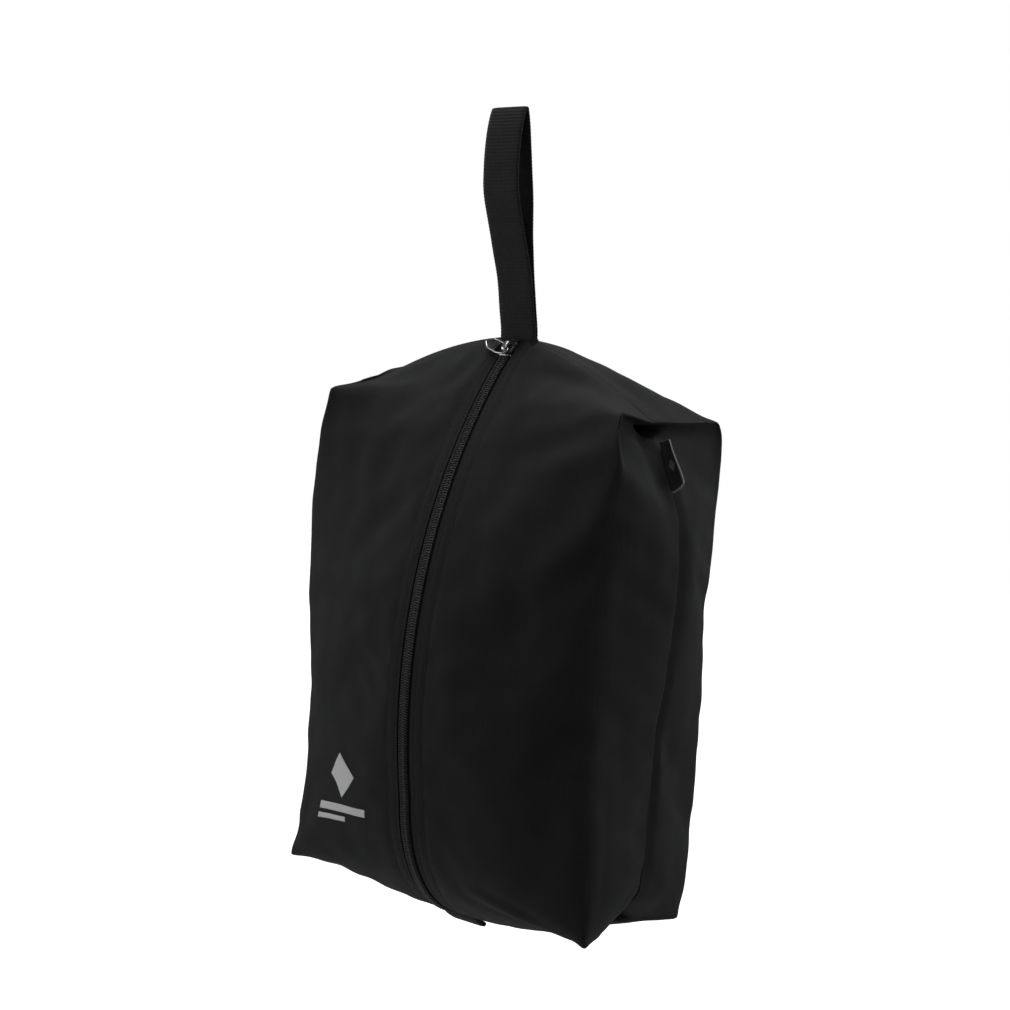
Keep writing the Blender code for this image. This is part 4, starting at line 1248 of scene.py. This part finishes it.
def webbing_strip(name, line, look, seed):
    """Ribbed webbing along (y, z) points: ribs across it, and edges where the weft turns back."""
    length = run_lengths(line)[-1]
    count = round(length / (RIB / 6.0)) + 1
    share = np.linspace(0.0, 1.0, count)
    run = by_length(line)(share)
    square = directions(run)[1]
    at = share * length
    rib = 0.5 + 0.5 * np.cos(2.0 * math.pi * at / RIB)
    marks = np.arange(0.0, length + 0.02, WOBBLE_STEP)
    wobble = np.interp(at, marks, np.random.default_rng(seed).uniform(-1.0, 1.0, len(marks)))
    half = WEB_WIDTH / 2.0 - EDGE_RIB + EDGE_RIB * rib + EDGE_WOBBLE * wobble
    face_line = np.linspace(-1.0, 1.0, WEB_POINTS)
    around = np.concatenate([face_line, face_line[::-1]])
    face = np.repeat((1.0, -1.0), WEB_POINTS)
    fall = 1.0 - 0.55 * np.abs(around) ** 10
    thick = (WEB / 2.0 - RIB_DEPTH + RIB_DEPTH * rib)[:, None] * (face * fall)[None, :]
    x = half[:, None] * around[None, :]
    points = np.stack([x, run[:, :1] + square[:, :1] * thick, run[:, 1:] + square[:, 1:] * thick], -1)
    flat_line = np.linspace(0.0, 1.0, WEB_POINTS)
    flat_x = np.concatenate([flat_line, flat_line + 1.04]) * WEB_WIDTH
    flat = stacked(flat_x[None, :], at[:, None])
    sections = points.shape[1]
    faces = grid_faces(count, sections, closed=True)
    faces += [tuple(reversed(range(sections))), tuple(range((count - 1) * sections, count * sections))]
    strip = mesh_object(name, points, faces, flat)
    dress(strip, look)
    return strip


def handle(look):
    near = [(NEAR_STRAND[0][0], RIDGE_Z - FOOT_DEPTH), *NEAR_STRAND]
    far = [(FAR_STRAND[0][0], RIDGE_Z - FOOT_DEPTH), *FAR_STRAND]
    line = smooth_run([*near, FOLD_TOP, *reversed(far)], 12)
    strip = webbing_strip("handle_loop", line, look, 11)
    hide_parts("handle_webbing")
    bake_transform(strip)
    return strip


def bottom_tab(look):
    """A short strand folded in two that lies back from the foot seam, its fold outermost."""
    half = WEB / 2.0 + 0.1 * MM
    reach = TAB_LENGTH - half
    end = (FOOT_Y + reach * math.sin(TAB_LEAN), TAB_HINGE_Z - reach * math.cos(TAB_LEAN))
    middle = smooth_run([(FOOT_Y, FOOT_Z + 4.0 * MM), (FOOT_Y, FOOT_Z), (FOOT_Y + 0.7 * MM, TAB_HINGE_Z),
                         mix(np.array((FOOT_Y, TAB_HINGE_Z)), np.array(end), 0.5), end], 6)
    along, square = directions(middle)
    turn = [middle[-1] + half * (square[-1] * math.cos(a) + along[-1] * math.sin(a))
            for a in np.linspace(0.0, math.pi, 11)[1:-1]]
    line = np.concatenate([middle + square * half, turn, (middle - square * half)[::-1]])
    strip = webbing_strip("folded_tab", line, look, 12)
    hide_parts("bottom_tab")
    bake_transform(strip)


def side_label(look):
    """A folded label: it stands out of the side seam, curls a little and its ends droop."""
    axis = np.array(JOINTS["label_flap"]["axis"])
    root = joint_place("label_flap") - BAG
    out = np.array((axis[2], 0.0, -axis[0]))
    up = np.linspace(0.0, 1.0, 33)[:, None]
    reach = np.linspace(0.0, 1.0, 13)[None, :]
    turn = math.radians(-26.0) * reach * (0.6 + 0.8 * up)
    stretch = LABEL_WIDTH * reach + LABEL_ROOT * reach - LABEL_ROOT
    slide = 2.4 * MM * reach ** 2 * (up - 0.62) * 2.0
    along = (up - 0.5) * LABEL_HEIGHT - slide
    curl = stretch * np.sin(turn) + 0.4 * MM * np.sin(up * 7.0) * reach
    points = (root + axis * along[..., None] + out * (stretch * np.cos(turn))[..., None]
              + np.array((0.0, 1.0, 0.0)) * curl[..., None])
    flat = stacked(reach * LABEL_WIDTH, up * LABEL_HEIGHT)
    label = mesh_object("woven_label", points, grid_faces(33, 13), flat)
    thicken(label, 0.7 * MM, offset=0.0)
    rounded(label, 0.2 * MM, 2)
    dress(label, look)
    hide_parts("side_label")
    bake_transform(label)


BINDING_DEPTH = 9.0 * MM
BINDING_OFF = {"side": 3.6 * MM, "ridge": 10.5 * MM}    # how far inside the seam it starts


def inner_binding(name, node, inner, outer, look):
    """A bound seam allowance in the seams' plane, with a soft wave along its free edge."""
    share = np.linspace(0.0, 1.0, 5)[None, :, None]
    points = outer[:, None] + (inner - outer)[:, None] * share
    wave = 0.35 * MM * np.sin(np.arange(len(outer)) * 0.9)[:, None] * share[..., 0]
    points[..., 1] += wave
    flat = stacked(share[..., 0] * BINDING_DEPTH, run_lengths(outer)[:, None])
    strip = mesh_object(name, points, grid_faces(len(outer), 5), flat)
    thicken(strip, 1.6 * MM, offset=0.0)
    rounded(strip, 0.5 * MM, 3)
    fit(strip, [look], "binding", "bag", node)


def inner_bindings(look):
    z = np.linspace(0.048, 0.232, 60)
    for side, word in SIDES:
        x = seam_x(z, side) - BINDING_OFF["side"]
        outer = np.stack([side * x, 0.0 * z, z], -1)
        inner = outer - (side * BINDING_DEPTH, 0.0, 0.0)
        inner_binding("bound_side_seam_" + word, word + "_side_binding", inner, outer, look)
    tops = {side: (RIDGE_END_Z[side], RIDGE_FALL[side]) for side in (RIGHT, LEFT)}
    feet = {side: (FOOT_END[2], FOOT_FALL) for side in (RIGHT, LEFT)}
    for name, node, reach, middle, end_x, sides, inward in (
            ("bound_top_seam", "top_seam_binding", 0.072, (RIDGE_Y, RIDGE_Z), RIDGE_END_X, tops, -1.0),
            ("bound_bottom_seam", "bottom_seam_binding", 0.076, (FOOT_Y, FOOT_Z), FOOT_END[0], feet, 1.0)):
        x = np.linspace(-reach, reach, 60)
        end_z, power = (np.where(x > 0.0, sides[RIGHT][k], sides[LEFT][k]) for k in range(2))
        level = mix(middle[1], end_z, (np.abs(x) / end_x) ** power) + inward * BINDING_OFF["ridge"]
        outer = np.stack([x, lean_y(x, middle[0]), level], -1)
        inner_binding(name, node, outer + (0.0, 0.0, inward * BINDING_DEPTH), outer, look)


def surface_sheet(panel, x, v, lift):
    """Points on a front panel at distances x from the zip and at v, lifted off the cloth."""
    column_x = np.abs(panel.points[len(ROW_V) // 3, :, 0])
    start = HEM_COLUMNS + 1
    end = start + int(np.argmax(column_x[start:] > 0.09))
    column = np.interp(x, column_x[start:end], np.arange(start, end))
    row = np.interp(v, ROW_V, np.arange(len(ROW_V)))
    lifted = panel.points + panel.normals() * lift
    r, c = row.astype(int), column.astype(int)
    down, over = (row - r)[..., None], (column - c)[..., None]
    lower = mix(lifted[r, c], lifted[r, c + 1], over)
    upper = mix(lifted[r + 1, c], lifted[r + 1, c + 1], over)
    return mix(lower, upper, down)


# the print's middle, its shapes as (kind, from x, to x, from z, to z) in mm, and its film
MARK_X = 0.0535
MARK_V = 0.246
MARK_SHAPES = (("diamond", -12.5, 12.5, -2.0, 24.0), ("bar", -22.0, 22.0, -10.5, -6.0),
               ("bar", -22.0, 4.0, -16.0, -13.0))
MARK_STEP = 0.75 * MM
MARK_LIFT = 0.12 * MM
FILM = 0.1 * MM


def mark_grid(kind, low_x, high_x, low_z, high_z):
    """One of the print's shapes, as a grid of flat places."""
    columns = max(2, round((high_x - low_x) * MM / MARK_STEP))
    rows = max(2, round((high_z - low_z) * MM / MARK_STEP))
    a = np.linspace(0.0, 1.0, columns + 1)[None, :]
    b = np.linspace(0.0, 1.0, rows + 1)[:, None]
    if kind == "diamond":
        middle = (low_z + high_z) / 2.0
        return stacked((a + b - 1.0) * high_x, middle + (b - a) * (high_z - low_z) / 2.0) * MM
    return stacked(mix(low_x, high_x, a), mix(low_z, high_z, b)) * MM


def printed_mark(panel, look):
    """A plain printed sign: a diamond over two bars."""
    points, faces, flat = [], [], []
    for shape in MARK_SHAPES:
        grid = mark_grid(*shape)
        place = surface_sheet(panel, MARK_X - grid[..., 0], MARK_V + grid[..., 1] / FRONT_LENGTH, MARK_LIFT)
        faces += grid_faces(*grid.shape[:2], len(points))
        points += place.reshape(-1, 3).tolist()
        flat += grid.reshape(-1, 2).tolist()
    mark = mesh_object("print_film", points, faces, flat)
    thicken(mark, FILM, offset=0.0)
    fit(mark, [look], "print", "bag", "printed_mark")


# ------------------------------------------------------------------ the studio

CAMERA_AZIMUTH = math.radians(38.42)
CAMERA_RISE = math.radians(2.93)
CAMERA_ROLL = math.radians(4.96)
CAMERA_LENS = 61.592
CAMERA_PLACE = (0.61617, -0.78316, 0.27262)
FLOOR_Z = -1.15
FLOOR_R = 12.0


def camera():
    back = Vector((math.sin(CAMERA_AZIMUTH) * math.cos(CAMERA_RISE),
                   -math.cos(CAMERA_AZIMUTH) * math.cos(CAMERA_RISE), math.sin(CAMERA_RISE)))
    level = Vector((0.0, 0.0, 1.0)).cross(back).normalized()
    upright = back.cross(level)
    cosine, sine = math.cos(CAMERA_ROLL), math.sin(CAMERA_ROLL)
    across = level * cosine + upright * sine
    up = upright * cosine - level * sine
    place = Vector(BAG) + Vector(CAMERA_PLACE)
    data = bpy.data.cameras.new("camera")
    data.lens = CAMERA_LENS
    thing = bpy.data.objects.new("camera", data)
    turn = Matrix((across, up, back)).transposed().to_4x4()
    thing.matrix_world = Matrix.Translation(place) @ turn
    bpy.context.scene.collection.objects.link(thing)
    bpy.context.scene.camera = thing


def area_light(name, place, size, power):
    data = bpy.data.lights.new(name, "AREA")
    data.shape = "DISK"
    data.size = size
    data.energy = power
    thing = bpy.data.objects.new(name, data)
    target = Vector(BAG) + Vector((0.0, 0.0, 0.15))
    place = target + Vector(place)
    thing.location = place
    thing.rotation_mode = "QUATERNION"
    thing.rotation_quaternion = (place - target).to_track_quat("Z", "Y")
    bpy.context.scene.collection.objects.link(thing)


def studio():
    scene = bpy.context.scene
    scene.view_settings.view_transform = "Standard"
    world = bpy.data.worlds.new("studio")
    world.use_nodes = True
    tree = world.node_tree
    shown = tree.nodes["Background"]
    shown.inputs["Strength"].default_value = 1.0
    shown.inputs["Color"].default_value = (1.0, 1.0, 1.0, 1.0)
    fill = tree.nodes.new("ShaderNodeBackground")
    fill.inputs["Color"].default_value = (0.96, 0.98, 1.0, 1.0)
    fill.inputs["Strength"].default_value = 0.12
    seen = tree.nodes.new("ShaderNodeLightPath")
    either = tree.nodes.new("ShaderNodeMixShader")
    tree.links.new(seen.outputs["Is Camera Ray"], either.inputs["Fac"])
    tree.links.new(fill.outputs[0], either.inputs[1])
    tree.links.new(shown.outputs[0], either.inputs[2])
    tree.links.new(either.outputs[0], tree.nodes["World Output"].inputs["Surface"])
    scene.world = world

    area_light("top_light", (0.0, 0.1, 1.6), 1.4, 17.0)
    area_light("left_light", (-1.4, -1.1, 0.05), 1.2, 7.3)
    area_light("back_right_light", (1.4, 0.9, 0.3), 1.0, 6.0)

    bpy.ops.mesh.primitive_circle_add(vertices=64, radius=FLOOR_R, fill_type="NGON",
                                      location=(0.0, 0.0, FLOOR_Z))
    floor = bpy.context.object
    floor.name = "floor"
    look = Look("pale_floor")
    speckle = look.noise(look.node("TexCoord").outputs["Object"], 6.0, 3.0)
    seen_glow = look.maths("MULTIPLY", look.node("LightPath").outputs["Is Camera Ray"], 1.2)
    dress(floor, look.set(Base_Color=look.shades(speckle, grey(0.60), grey(0.66)), Roughness=0.9,
                          Specular_IOR_Level=0.1, Emission_Color=(1.0, 1.0, 1.0, 1.0),
                          Emission_Strength=seen_glow))


# ------------------------------------------------------------------ the bag

def build():
    camera()
    studio()
    cloth = woven("black_cloth", CLOTH_PITCH, grey(0.0095), grey(0.0165), 0.72, 0.10, 0.10 * MM)
    binding = woven("binding_tape", 0.9 * MM, grey(0.008), grey(0.013), 0.8, 0.05, 0.15 * MM)
    tape = herringbone("zip_tape_weave")
    web = webbing_look("ribbed_webbing")
    thread = thread_look("black_thread", 0.034)
    coil = coil_look("coil_nylon")
    lacquer = metal_look("slider_lacquer", grey(0.012), grey(0.02), 0.22, 0.34, metallic=0.0)
    bright = metal_look("bright_nickel", grey(0.58), grey(0.72), 0.16, 0.26)
    nickel = metal_look("puller_nickel", grey(0.50), grey(0.64), 0.16, 0.28)
    insert = metal_look("dark_insert", grey(0.10), grey(0.16), 0.25, 0.4)
    film = print_look("print_film")
    label = label_look("label_satin")

    right = front_panel_grid(RIGHT)
    left = front_panel_grid(LEFT)
    back = back_panel_grid()
    relax((right, left, back))
    strip = handle(web)
    for name, node, panel, flat in (
            ("front_right_cloth", "front_right_panel", right, (HALF_SIZE, FRONT_LENGTH)),
            ("front_left_cloth", "front_left_panel", left, (HALF_SIZE, FRONT_LENGTH)),
            ("back_cloth", "back_panel", back, (2.0 * HALF_SIZE, BACK_LENGTH))):
        thing = panel_object(name, panel, node, cloth)

    zip_tapes(tape)
    zip_coils(coil)
    coil_threads(thread)
    for panel, word in ((right, "right"), (left, "left")):
        for row_x, place in zip(STITCH_ROWS, ("edge", "outer")):
            stitch_row(f"{place}_stitches_{word}", f"zip_{place}_stitch_{word}", panel, row_x, thread)
    slider_shell(lacquer, bright)
    lower_plate(lacquer)
    bridge(bright)
    puller(nickel, insert)
    bottom_tab(web)
    side_label(label)
    inner_bindings(binding)
    printed_mark(left, film)


build()
